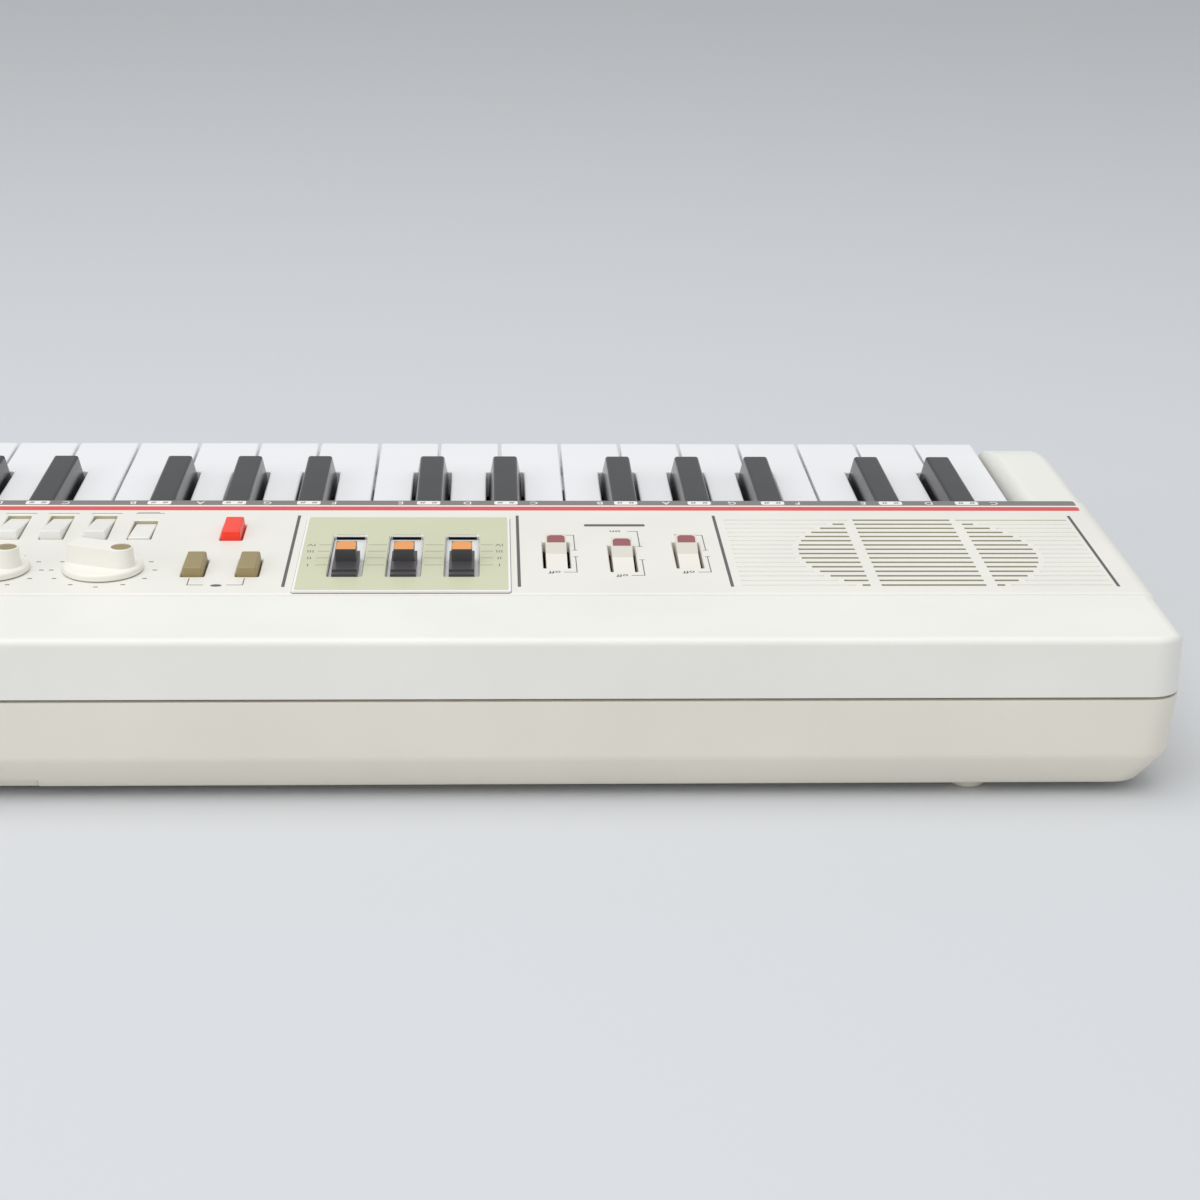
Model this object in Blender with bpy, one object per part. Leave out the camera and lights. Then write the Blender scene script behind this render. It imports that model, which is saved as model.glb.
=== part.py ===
"""Portable keyboard with 37 mini keys, modelled as separate pieces.

Metres, +Z up. The player sits at -Y, the low keys are at -X, and the feet stand on z = 0.
"""

import math

import bmesh
import bpy
from mathutils import Vector

MM = 0.001

# Overall sizes of the case
KEY_PITCH = 18.2 * MM
WHITE_KEY_COUNT = 22
CHEEK_WIDTH = 17.6 * MM
CASE_FRONT = -91.0 * MM
CASE_REAR = 93.5 * MM
KEY_TOP = 36.8 * MM
FOOT_HEIGHT = 2.5 * MM
PARTING_BELOW_KEYS = 10.0 * MM
PARTING_GAP = 0.8 * MM
DECK_ABOVE_KEYS = 5.8 * MM
WALL = 2.5 * MM
REAR_CORNER_RADIUS = 8.0 * MM
FRONT_CORNER_RADIUS = 6.0 * MM
SMALLEST_CORNER = 1.0 * MM
TOP_EDGE_RADIUS = 2.4 * MM
BELLY_HEIGHT = 9.0 * MM
BELLY_INSET = 6.5 * MM
BELLY_SOFTENING = 0.6 * MM
SIDE_DRAFT = 1.2 * MM
CHEEK_REAR_RISE = 5.5 * MM
CHEEK_FRONT_RISE = 5.3 * MM
CHEEK_CURVE_LENGTH = 34.0 * MM
CHEEK_CURVE_DROP = 13.8 * MM
CHEEK_SHOULDER_RADIUS = 3.5 * MM

# Clearances
FIT_GAP = 0.3 * MM
SLIDING_GAP = 0.35 * MM
KEY_GAP = 0.7 * MM
OVERSHOOT = 5.0 * MM
JOIN_DEPTH = 1.0 * MM
CURVE_OVERRUN = 0.05 * MM

# Keys
KEY_OVERHANG = 2.5 * MM
KEY_HEIGHT = 8.0 * MM
KEY_LIP_DROP = 2.0 * MM
KEY_LIP_THICKNESS = 2.2 * MM
KEY_PIVOT_Y = -9.2 * MM
KEY_TAIL = 3.2 * MM
KEY_TRAVEL = 3.5 * MM
KEY_EDGE = 0.5 * MM
BLACK_KEY_RISE = 5.5 * MM
BLACK_KEY_FRONT = -62.8 * MM
BLACK_KEY_FRONT_SLOPE = 1.8 * MM
BLACK_KEY_BASE_WIDTH = 9.2 * MM
BLACK_KEY_TOP_WIDTH = 6.8 * MM
BLACK_KEY_WALL_BELOW_TOP = 7.0 * MM
BLACK_KEY_CLEARANCE = 0.8 * MM

# Control panel
PANEL_ABOVE_KEYS = 6.0 * MM
PANEL_THICKNESS = 3.0 * MM
PANEL_FRONT = -15.8 * MM
PANEL_REAR = 61.9 * MM
PANEL_SIDE_RADIUS = 2.8 * MM
PLATE_CENTRE_X = -29.9 * MM
PLATE_WIDTH = 54.0 * MM
PLATE_FRONT = 1.1 * MM
PLATE_REAR = 61.2 * MM
PLATE_HEIGHT = 0.6 * MM

# Loudspeaker and its grille
SPEAKER_FROM_END = 55.0 * MM
SPEAKER_Y = 30.3 * MM
SPEAKER_RADIUS = 30.0 * MM
SPEAKER_RIM = 4.0 * MM
SPEAKER_FLANGE = 2.5 * MM
SPEAKER_DEPTH = 22.0 * MM
MAGNET_RADIUS = 16.0 * MM
MAGNET_HEIGHT = 10.0 * MM
CONE_THICKNESS = 3.0 * MM
DUST_CAP_RADIUS = 8.0 * MM
DUST_CAP_RISE = 1.5 * MM
SLOT_ROWS = 16
SLOT_FIRST_Y = 2.3 * MM
SLOT_PITCH = 3.55 * MM
SLOT_WIDTH = 1.2 * MM
GRILLE_RADIUS = 31.0 * MM
GRILLE_BANK_HALF = 13.2 * MM
GRILLE_BAR = 2.8 * MM
SHORTEST_SLOT = 1.5 * MM

# Variation sliders
SLIDER_PITCH = 14.65 * MM
SLIDER_WINDOW_WIDTH = 8.6 * MM
SLIDER_WINDOW_FRONT = 17.0 * MM
SLIDER_WINDOW_REAR = 50.6 * MM
SLIDER_TRAVEL = 15.8 * MM
SLIDER_WIDTH = 6.4 * MM
SLIDER_GRIP_WIDTH = 5.2 * MM
SLIDER_GRIP_LENGTH = 6.6 * MM
SLIDER_GRIP_RISE = 3.2 * MM
SLIDER_BASE_RISE = 1.0 * MM
SLIDER_BASE_BEHIND_GRIP = 9.0 * MM
SLIDER_STEM = 2.4 * MM
SLIDER_STEM_SHORTER = 2.0 * MM

# Rocker switches
ROCKER_CENTRE_X = -85.8 * MM
ROCKER_PITCH = 17.0 * MM
ROCKER_Y = 31.5 * MM
MIDDLE_ROCKER_SHIFT = 2.8 * MM
POWER_ROCKER_FROM_END = 31.8 * MM
ROCKER_WIDTH = 5.4 * MM
ROCKER_SIDE_GAP = 0.5 * MM
ROCKER_RADIUS = 10.6 * MM
ROCKER_PIVOT_DEPTH = 3.0 * MM
ROCKER_CREST = 0.2 * MM
ROCKER_RAISED_END = 2.7 * MM
ROCKER_SUNK_END = -0.6 * MM
ROCKER_SIDE_DROP = 1.0 * MM
ROCKER_HEEL = 3.0 * MM
ROCKER_SEAT_DEPTH = 9.0 * MM

# Push buttons: width, front end, rear end, rise at the front and at the rear
BUTTON_TRAVEL = 2.2 * MM
BUTTON_DEPTH = 8.0 * MM
BUTTON_EDGE = 0.4 * MM
KHAKI_BUTTON_WIDTH = 5.2 * MM
KHAKI_BUTTON_FRONT = 35.4 * MM
KHAKI_BUTTON_REAR = 48.7 * MM
START_BUTTON_X = 22.7 * MM
SYNCHRO_BUTTON_X = 9.1 * MM
FILL_IN_BUTTON_X = 15.9 * MM
FILL_IN_BUTTON_FRONT = 6.4 * MM
FILL_IN_BUTTON_REAR = 19.7 * MM
PLAIN_BUTTON_RISE = 2.4 * MM
RHYTHM_BUTTON_COUNT = 4
RHYTHM_BUTTON_PITCH = 11.4 * MM
RHYTHM_BUTTON_FIRST_X = 39.9 * MM
RHYTHM_BUTTON_WIDTH = 5.6 * MM
RHYTHM_BUTTON_FRONT = -1.8 * MM
LATCHED_BUTTON_FRONT = 2.7 * MM
RHYTHM_BUTTON_REAR = 18.8 * MM
RHYTHM_RISE_FRONT = -1.0 * MM
LATCHED_RISE_FRONT = 0.9 * MM
RHYTHM_RISE_REAR = 2.4 * MM
LATCH_DEPTH = 1.8 * MM

# Knobs
KNOB_X = (45.4 * MM, 73.7 * MM)
KNOB_Y = 43.8 * MM
KNOB_SKIRT_RADIUS = 10.0 * MM
KNOB_SKIRT_HEIGHT = 1.7 * MM
KNOB_SKIRT_EDGE = 0.4 * MM
KNOB_SKIRT_SHOULDER = 1.0 * MM
KNOB_BAR_RISE = 6.9 * MM
KNOB_BAR_WIDTH = 7.0 * MM
KNOB_BAR_SHORTER = 1.2 * MM
KNOB_BAR_TAPER = 0.6 * MM
KNOB_BAR_LEAN = math.radians(22.0)
KNOB_SHAFT_RADIUS = 3.0 * MM
KNOB_SIDES = 40

# Inside the case
FLOOR_THICKNESS = 2.5 * MM
FRAME_WEB = 2.0 * MM
FRAME_RAIL = 6.0 * MM
FRAME_FRONT_ROOM = 2.0 * MM
FRAME_RIDGE = 2.0 * MM
FRAME_SHORTER = 4.2 * MM
BOARD_BELOW_PANEL = 20.0 * MM
BOARD_THICKNESS = 1.6 * MM
BOARD_FROM_SPEAKER = 14.8 * MM
BOARD_FROM_END = 11.8 * MM
BOARD_FRONT = 12.0 * MM
BOARD_FROM_REAR = 6.5 * MM
PILLAR_RADIUS = 3.0 * MM
PILLAR_MARGIN = 5.0 * MM
POT_RADIUS = 8.0 * MM
POT_HEIGHT = 8.0 * MM
SWITCH_BODY_HEIGHT = 5.0 * MM
SLIDE_SWITCH_HALF_WIDTH = 3.5 * MM
ROCKER_SWITCH_HALF = (4.0 * MM, 7.0 * MM)
PUSH_SWITCH_HALF = 2.5 * MM
RHYTHM_SWITCH_FROM_FRONT = 11.8 * MM

# Battery bay, under the high end
BAY_FROM_END = 107.8 * MM
BAY_HALF_X = 52.0 * MM
BAY_HALF_Y = 26.0 * MM
BAY_HEIGHT = 15.0 * MM
BAY_WALL = 2.0 * MM
BAY_FROM_SOCKETS = 1.0 * MM
COVER_LEDGE = 1.6 * MM
COVER_THICKNESS = 2.2 * MM

# Sockets in the rear wall
SOCKET_FROM_END = 43.8 * MM
SOCKET_PITCH = 22.0 * MM
SOCKET_COUNT = 3
SOCKET_RADIUS = 4.2 * MM
SOCKET_BORE_RADIUS = 1.8 * MM
SOCKET_BORE_END = 1.5 * MM
SOCKET_BODY = 9.0 * MM
SOCKET_LENGTH = 9.5 * MM
SOCKET_BELOW_KEYS = 17.8 * MM

# Feet
FOOT_RADIUS = 4.5 * MM
FOOT_CHAMFER = 0.5 * MM
FOOT_FROM_END = 48.6 * MM
FOOT_FROM_FRONT = 14.0 * MM
FOOT_FROM_REAR = 13.5 * MM

# Black keys: the white key on their left within the octave, and how far they sit from its edge
BLACK_KEY_OFFSETS = {0: -1.5 * MM, 1: 1.5 * MM, 3: -2.2 * MM, 4: -0.1 * MM, 5: 2.0 * MM}
WHITE_NAMES = "CDEFGAB"
KEYS_IN_OCTAVE = len(WHITE_NAMES)

# Values worked out from the sizes above
KEYS_HALF = WHITE_KEY_COUNT * KEY_PITCH / 2
CASE_HALF = KEYS_HALF + CHEEK_WIDTH
WELL_HALF = KEYS_HALF + KEY_GAP
KEY_FRONT = CASE_FRONT - KEY_OVERHANG
KEY_UNDERSIDE = KEY_TOP - KEY_HEIGHT
CHEEK_TOP_REAR = KEY_TOP + CHEEK_REAR_RISE
CHEEK_TOP_FRONT = KEY_TOP + CHEEK_FRONT_RISE
DECK_TOP = KEY_TOP + DECK_ABOVE_KEYS
PANEL_TOP = KEY_TOP + PANEL_ABOVE_KEYS
PANEL_UNDERSIDE = PANEL_TOP - PANEL_THICKNESS
PANEL_SEAT = PANEL_UNDERSIDE - FIT_GAP
PARTING_HEIGHT = KEY_TOP - PARTING_BELOW_KEYS
UPPER_BOTTOM = PARTING_HEIGHT + PARTING_GAP
FLOOR_TOP = FOOT_HEIGHT + FLOOR_THICKNESS
SPEAKER_X = -CASE_HALF + SPEAKER_FROM_END
POWER_ROCKER_X = CASE_HALF - POWER_ROCKER_FROM_END
BOARD_UNDERSIDE = PANEL_TOP - BOARD_BELOW_PANEL
BOARD_TOP = BOARD_UNDERSIDE + BOARD_THICKNESS
BOARD_LEFT = SPEAKER_X + SPEAKER_RADIUS + BOARD_FROM_SPEAKER
BOARD_RIGHT = CASE_HALF - BOARD_FROM_END
BOARD_REAR = CASE_REAR - BOARD_FROM_REAR
FRAME_HALF_LENGTH = KEYS_HALF - FRAME_SHORTER
FRAME_STOP_Y = CASE_FRONT + BELLY_INSET + WALL + FRAME_FRONT_ROOM + FRAME_RAIL / 2
SOCKET_X = [CASE_HALF - SOCKET_FROM_END - i * SOCKET_PITCH for i in range(SOCKET_COUNT)]
SOCKET_Z = KEY_TOP - SOCKET_BELOW_KEYS
SOCKET_REAR = CASE_REAR - WALL - SIDE_DRAFT - BELLY_SOFTENING - FIT_GAP
SOCKET_FRONT = SOCKET_REAR - SOCKET_LENGTH
BAY_X = CASE_HALF - BAY_FROM_END
BAY_Y = SOCKET_FRONT - BAY_FROM_SOCKETS - BAY_WALL - BAY_HALF_Y
BAY_TOP = min(FLOOR_TOP + BAY_HEIGHT, BOARD_UNDERSIDE - BAY_WALL - FIT_GAP)
FOOT_X = CASE_HALF - FOOT_FROM_END
FOOT_Y = (CASE_FRONT + FOOT_FROM_FRONT, CASE_REAR - FOOT_FROM_REAR)


def clear_scene():
    for obj in list(bpy.data.objects):
        bpy.data.objects.remove(obj, do_unlink=True)


def plastic(name, color, roughness, metallic=0.0):
    material = bpy.data.materials.new(name)
    material.use_nodes = True
    shader = material.node_tree.nodes["Principled BSDF"]
    shader.inputs["Base Color"].default_value = (*color, 1.0)
    shader.inputs["Roughness"].default_value = roughness
    shader.inputs["Metallic"].default_value = metallic
    material.diffuse_color = (*color, 1.0)
    return material


def place(name, bm, material=None, origin=(0.0, 0.0, 0.0)):
    """Turn a mesh in world coordinates into an object whose origin is at the given point."""
    bmesh.ops.recalc_face_normals(bm, faces=bm.faces)
    bmesh.ops.translate(bm, verts=bm.verts, vec=-Vector(origin))
    mesh = bpy.data.meshes.new(name)
    bm.to_mesh(mesh)
    bm.free()
    obj = bpy.data.objects.new(name, mesh)
    obj.location = origin
    if material:
        mesh.materials.append(material)
    bpy.context.scene.collection.objects.link(obj)
    return obj


def smooth(obj, angle=35.0):
    obj.data.shade_smooth()
    obj.data.set_sharp_from_angle(angle=math.radians(angle))


def combine(obj, bm, operation):
    """Cut a mesh out of an object, or join it on, with a live Boolean modifier."""
    number = len(obj.modifiers)
    tool = place(f"{obj.name}_{operation.lower()}_{number}", bm)
    tool.hide_render = True
    tool.display_type = "WIRE"
    modifier = obj.modifiers.new(f"{operation.lower()} {number}", "BOOLEAN")
    modifier.operation = operation
    modifier.object = tool
    modifier.solver = "EXACT"


def cut(obj, bm):
    combine(obj, bm, "DIFFERENCE")


def join(obj, bm):
    combine(obj, bm, "UNION")


def round_edges(obj, width, segments=1, angle=30.0):
    modifier = obj.modifiers.new("rounded edges", "BEVEL")
    modifier.width = width
    modifier.segments = segments
    modifier.limit_method = "ANGLE"
    modifier.angle_limit = math.radians(angle)


def loft(bm, rings):
    """Skin rings of equal length, and close both ends."""
    loops = [[bm.verts.new(point) for point in ring] for ring in rings]
    for lower, upper in zip(loops, loops[1:]):
        for i in range(len(lower)):
            j = (i + 1) % len(lower)
            bm.faces.new((lower[i], lower[j], upper[j], upper[i]))
    bm.faces.new(list(reversed(loops[0])))
    bm.faces.new(loops[-1])
    return bm


def box(x0, x1, y0, y1, z0, z1, bm=None):
    corners = ((x0, y0), (x1, y0), (x1, y1), (x0, y1))
    rings = [[(x, y, z) for x, y in corners] for z in (z0, z1)]
    return loft(bm or bmesh.new(), rings)


def side_prism(outline, x0, x1, bm=None):
    """Extrude an outline of (y, z) points along X."""
    rings = [[(x, y, z) for y, z in outline] for x in (x0, x1)]
    return loft(bm or bmesh.new(), rings)


def front_prism(outline, y0, y1, bm=None):
    """Extrude an outline of (x, z) points along Y."""
    rings = [[(x, y, z) for x, z in outline] for y in (y0, y1)]
    return loft(bm or bmesh.new(), rings)


def circle(x, y, z, radius, sides=32):
    turns = [2 * math.pi * i / sides for i in range(sides)]
    return [(x + radius * math.cos(a), y + radius * math.sin(a), z) for a in turns]


def turned(x, y, profile, sides=32, bm=None):
    """Stack circles of the given (radius, z) pairs."""
    return loft(bm or bmesh.new(), [circle(x, y, z, radius, sides) for radius, z in profile])


def lying_cylinder(x, z, radius, y0, y1, sides=24, bm=None):
    turns = [2 * math.pi * i / sides for i in range(sides)]
    outline = [(x + radius * math.cos(a), z + radius * math.sin(a)) for a in turns]
    return front_prism(outline, y0, y1, bm)


def arc(centre, radius, start, end, steps):
    """Points along an arc, with the angles in degrees."""
    points = []
    for i in range(steps + 1):
        a = math.radians(start + (end - start) * i / steps)
        points.append((centre[0] + radius * math.cos(a), centre[1] + radius * math.sin(a)))
    return points


def case_outline(inset, z, corner_steps=5):
    """The plan of the case, drawn in by an inset, as a ring at height z."""
    half = CASE_HALF - inset
    rear = CASE_REAR - inset
    front = CASE_FRONT + inset
    rear_radius = max(REAR_CORNER_RADIUS - inset, SMALLEST_CORNER)
    front_radius = max(FRONT_CORNER_RADIUS - inset, SMALLEST_CORNER)
    corners = (
        ((half - rear_radius, rear - rear_radius), rear_radius, 0),
        ((-half + rear_radius, rear - rear_radius), rear_radius, 90),
        ((-half + front_radius, front + front_radius), front_radius, 180),
        ((half - front_radius, front + front_radius), front_radius, 270),
    )
    ring = []
    for centre, radius, start in corners:
        ring += [(x, y, z) for x, y in arc(centre, radius, start, start + 90, corner_steps)]
    return ring


def lower_case(material):
    belly_top = FOOT_HEIGHT + BELLY_HEIGHT
    soft = BELLY_SOFTENING
    outside = (
        (BELLY_INSET + soft, FOOT_HEIGHT),
        (BELLY_INSET, FOOT_HEIGHT + soft / 2),
        (SIDE_DRAFT + soft, belly_top - soft),
        (SIDE_DRAFT, belly_top + soft),
        (0.0, PARTING_HEIGHT),
    )
    body = place("lower_case", loft(bmesh.new(), [case_outline(i, z) for i, z in outside]), material)
    inside = (
        (BELLY_INSET + WALL, FLOOR_TOP),
        (SIDE_DRAFT + WALL + soft, belly_top),
        (WALL, PARTING_HEIGHT + OVERSHOOT),
    )
    cut(body, loft(bmesh.new(), [case_outline(i, z) for i, z in inside]))
    key_lip_lowest = KEY_UNDERSIDE - KEY_LIP_DROP - KEY_TRAVEL
    front_top = key_lip_lowest - 2 * FIT_GAP
    cut(body, box(-WELL_HALF, WELL_HALF, CASE_FRONT - OVERSHOOT, CASE_FRONT + 2 * WALL,
                  front_top, PARTING_HEIGHT + OVERSHOOT))
    battery_bay(body)
    root = FLOOR_TOP - JOIN_DEPTH
    for x, y in pillar_places():
        join(body, turned(x, y, ((PILLAR_RADIUS, root), (PILLAR_RADIUS, BOARD_UNDERSIDE - FIT_GAP)), 16))
    foot = ((FOOT_RADIUS - FOOT_CHAMFER, 0.0), (FOOT_RADIUS, FOOT_CHAMFER),
            (FOOT_RADIUS, FOOT_HEIGHT + JOIN_DEPTH))
    for x in (-FOOT_X, FOOT_X):
        for y in FOOT_Y:
            join(body, turned(x, y, foot, 24))
    for x in SOCKET_X:
        cut(body, lying_cylinder(x, SOCKET_Z, SOCKET_RADIUS, CASE_REAR - 2 * WALL, CASE_REAR + OVERSHOOT))
    smooth(body)
    return body


def battery_bay(body):
    """A box for the batteries on the case floor, open below, and the recess that its door slides in."""
    root = FLOOR_TOP - JOIN_DEPTH
    outer_x = BAY_HALF_X + BAY_WALL
    outer_y = BAY_HALF_Y + BAY_WALL
    recess_x = BAY_HALF_X + COVER_LEDGE
    recess_front = BAY_Y - BAY_HALF_Y - COVER_LEDGE
    recess_top = FOOT_HEIGHT + COVER_THICKNESS + FIT_GAP
    rim_top = recess_top + BAY_WALL
    rim_rear = CASE_REAR - BELLY_INSET - SIDE_DRAFT
    join(body, box(BAY_X - recess_x - BAY_WALL, BAY_X + recess_x + BAY_WALL,
                   recess_front - BAY_WALL, rim_rear, root, rim_top))
    join(body, box(BAY_X - outer_x, BAY_X + outer_x, BAY_Y - outer_y, BAY_Y + outer_y,
                   root, BAY_TOP + BAY_WALL))
    cut(body, box(BAY_X - BAY_HALF_X, BAY_X + BAY_HALF_X, BAY_Y - BAY_HALF_Y, BAY_Y + BAY_HALF_Y,
                  -OVERSHOOT, BAY_TOP))
    cut(body, box(BAY_X - recess_x, BAY_X + recess_x, recess_front, CASE_REAR + OVERSHOOT,
                  -OVERSHOOT, recess_top))


def pillar_places():
    """Where the pillars of the lower case carry the circuit board, clear of the battery bay."""
    left = BOARD_LEFT + PILLAR_MARGIN
    right = BOARD_RIGHT - PILLAR_MARGIN
    middle = BAY_X - BAY_HALF_X - BAY_WALL - PILLAR_MARGIN - PILLAR_RADIUS
    front = BOARD_FRONT + PILLAR_MARGIN
    rear = BOARD_REAR - PILLAR_MARGIN
    return [(x, y) for x in (left, middle, right) for y in (front, rear)]


def cheek_cutter():
    """Everything above the cheeks: nearly level with the panel, then a long curve down to the front."""
    centre = (CASE_FRONT + CHEEK_CURVE_LENGTH, CHEEK_TOP_FRONT - CHEEK_CURVE_DROP)
    far_front = CASE_FRONT - OVERSHOOT
    above = DECK_TOP + OVERSHOOT
    curve = []
    for u, v in arc((0.0, 0.0), 1.0, 90, 177, 12):
        curve.append((centre[0] + u * (CHEEK_CURVE_LENGTH + CURVE_OVERRUN), centre[1] + v * CHEEK_CURVE_DROP))
    outline = [(PANEL_FRONT, above), (PANEL_FRONT, CHEEK_TOP_REAR)] + curve
    outline += [(far_front, curve[-1][1]), (far_front, above)]
    return side_prism(outline, -CASE_HALF - OVERSHOOT, CASE_HALF + OVERSHOOT)


def shoulder_cutter(side):
    """Rounds the inner edge of one cheek, down towards the keys."""
    radius = CHEEK_SHOULDER_RADIUS
    curve = arc((WELL_HALF + radius, CHEEK_TOP_REAR - radius), radius, 180, 90, 6)
    curve = [(side * x, z) for x, z in curve]
    above = CHEEK_TOP_REAR + OVERSHOOT
    inner = side * (WELL_HALF - OVERSHOOT)
    outline = [(inner, curve[0][1])] + curve + [(curve[-1][0], above), (inner, above)]
    return front_prism(outline, CASE_FRONT - OVERSHOOT, PANEL_FRONT)


def upper_case(material):
    shoulder = DECK_TOP - TOP_EDGE_RADIUS
    rings = [case_outline(0.0, UPPER_BOTTOM)]
    for inset, z in arc((TOP_EDGE_RADIUS, shoulder), TOP_EDGE_RADIUS, 180, 90, 4):
        rings.append(case_outline(inset, z))
    body = place("upper_case", loft(bmesh.new(), rings), material)
    cut(body, cheek_cutter())
    far = CASE_HALF + OVERSHOOT
    cut(body, box(-far, far, PANEL_FRONT, PANEL_REAR + FIT_GAP, PANEL_SEAT, DECK_TOP + OVERSHOOT))
    cut(body, box(-WELL_HALF, WELL_HALF, CASE_FRONT - OVERSHOOT, PANEL_FRONT + WALL,
                  UPPER_BOTTOM - OVERSHOOT, DECK_TOP + OVERSHOOT))
    for side in (-1, 1):
        cut(body, shoulder_cutter(side))
    inner = CASE_HALF - WALL
    cut(body, box(-inner, inner, PANEL_FRONT, CASE_REAR - WALL, UPPER_BOTTOM - OVERSHOOT, DECK_TOP - WALL))
    hollow_front = CASE_FRONT + WALL + FRONT_CORNER_RADIUS / 2
    hollow_top = CHEEK_TOP_FRONT - CHEEK_CURVE_DROP * 2 / 3
    for side in (-1, 1):
        near, far = sorted((side * (WELL_HALF + WALL), side * inner))
        cut(body, box(near, far, hollow_front, PANEL_FRONT + WALL, UPPER_BOTTOM - OVERSHOOT, hollow_top))
    smooth(body)
    return body


def slot_lengths():
    """The banks of slots in the grille as (x start, x end, y) of each slot."""
    slots = []
    for row in range(SLOT_ROWS):
        y = SLOT_FIRST_Y + row * SLOT_PITCH
        reach = math.sqrt(max(GRILLE_RADIUS ** 2 - (y - SPEAKER_Y) ** 2, 0.0))
        slots.append((SPEAKER_X - GRILLE_BANK_HALF, SPEAKER_X + GRILLE_BANK_HALF, y))
        start = GRILLE_BANK_HALF + GRILLE_BAR
        if reach - start > SHORTEST_SLOT:
            slots.append((SPEAKER_X + start, SPEAKER_X + reach, y))
            slots.append((SPEAKER_X - reach, SPEAKER_X - start, y))
    return slots


def window(x, width, front, rear, gap=SLIDING_GAP, bm=None):
    """A hole through the panel with a gap round what moves in it."""
    below = PANEL_UNDERSIDE - OVERSHOOT
    above = PANEL_TOP + OVERSHOOT
    return box(x - width / 2 - gap, x + width / 2 + gap, front - gap, rear + gap, below, above, bm)


def slider_places():
    return [PLATE_CENTRE_X + side * SLIDER_PITCH for side in (1, 0, -1)]


def rocker_places():
    """Centre of each rocker: three modes, then the power switch."""
    middle = ROCKER_Y + MIDDLE_ROCKER_SHIFT
    return [(ROCKER_CENTRE_X + ROCKER_PITCH, ROCKER_Y), (ROCKER_CENTRE_X, middle),
            (ROCKER_CENTRE_X - ROCKER_PITCH, ROCKER_Y), (POWER_ROCKER_X, ROCKER_Y)]


def rhythm_places():
    return [RHYTHM_BUTTON_FIRST_X + i * RHYTHM_BUTTON_PITCH for i in range(RHYTHM_BUTTON_COUNT)]


def rhythm_front(number):
    """Front end of a rhythm button: the first one, which rests latched down, is shorter."""
    return LATCHED_BUTTON_FRONT if number == 1 else RHYTHM_BUTTON_FRONT


def control_panel(material):
    half = CASE_HALF
    outline = [(-half, PANEL_UNDERSIDE), (half, PANEL_UNDERSIDE)]
    shoulder = PANEL_TOP - PANEL_SIDE_RADIUS
    outline += arc((half - PANEL_SIDE_RADIUS, shoulder), PANEL_SIDE_RADIUS, 0, 90, 4)
    outline += arc((-half + PANEL_SIDE_RADIUS, shoulder), PANEL_SIDE_RADIUS, 90, 180, 4)
    panel = place("control_panel", front_prism(outline, PANEL_FRONT + FIT_GAP, PANEL_REAR), material)
    plate_left = PLATE_CENTRE_X - PLATE_WIDTH / 2
    plate_right = PLATE_CENTRE_X + PLATE_WIDTH / 2
    join(panel, box(plate_left, plate_right, PLATE_FRONT, PLATE_REAR,
                    PANEL_TOP - JOIN_DEPTH, PANEL_TOP + PLATE_HEIGHT))
    holes = bmesh.new()
    for x0, x1, y in slot_lengths():
        box(x0, x1, y - SLOT_WIDTH / 2, y + SLOT_WIDTH / 2,
            PANEL_UNDERSIDE - OVERSHOOT, PANEL_TOP + OVERSHOOT, holes)
    for x in slider_places():
        window(x, SLIDER_WINDOW_WIDTH, SLIDER_WINDOW_FRONT, SLIDER_WINDOW_REAR, 0.0, holes)
    for x, y in rocker_places():
        window(x, ROCKER_WIDTH + 2 * ROCKER_SIDE_GAP, y - ROCKER_RADIUS, y + ROCKER_RADIUS, bm=holes)
    for x in (START_BUTTON_X, SYNCHRO_BUTTON_X):
        window(x, KHAKI_BUTTON_WIDTH, KHAKI_BUTTON_FRONT, KHAKI_BUTTON_REAR, bm=holes)
    window(FILL_IN_BUTTON_X, KHAKI_BUTTON_WIDTH, FILL_IN_BUTTON_FRONT, FILL_IN_BUTTON_REAR, bm=holes)
    for number, x in enumerate(rhythm_places(), start=1):
        window(x, RHYTHM_BUTTON_WIDTH, rhythm_front(number), RHYTHM_BUTTON_REAR, bm=holes)
    for x in KNOB_X:
        turned(x, KNOB_Y, ((KNOB_SHAFT_RADIUS + SLIDING_GAP, PANEL_UNDERSIDE - OVERSHOOT),
                           (KNOB_SHAFT_RADIUS + SLIDING_GAP, PANEL_TOP + OVERSHOOT)), 24, holes)
    cut(panel, holes)
    smooth(panel)
    return panel


def white_key_outline():
    """Side view of a white key, from the front lip back to the tail, as (y, z)."""
    lip_bottom = KEY_UNDERSIDE - KEY_LIP_DROP
    tail = KEY_PIVOT_Y + KEY_TAIL
    lip_rear = KEY_FRONT + KEY_LIP_THICKNESS
    return [(KEY_FRONT, KEY_TOP), (KEY_FRONT, lip_bottom), (lip_rear, lip_bottom),
            (lip_rear, KEY_UNDERSIDE), (tail, KEY_UNDERSIDE), (tail, KEY_TOP)]


def key_left_edge(index):
    return -KEYS_HALF + index * KEY_PITCH


def black_key_centre(index):
    """Centre of the black key between a white key and the next one."""
    return key_left_edge(index + 1) + BLACK_KEY_OFFSETS[index % KEYS_IN_OCTAVE]


def has_black_key(index):
    in_range = 0 <= index < WHITE_KEY_COUNT - 1
    return in_range and index % KEYS_IN_OCTAVE in BLACK_KEY_OFFSETS


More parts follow.
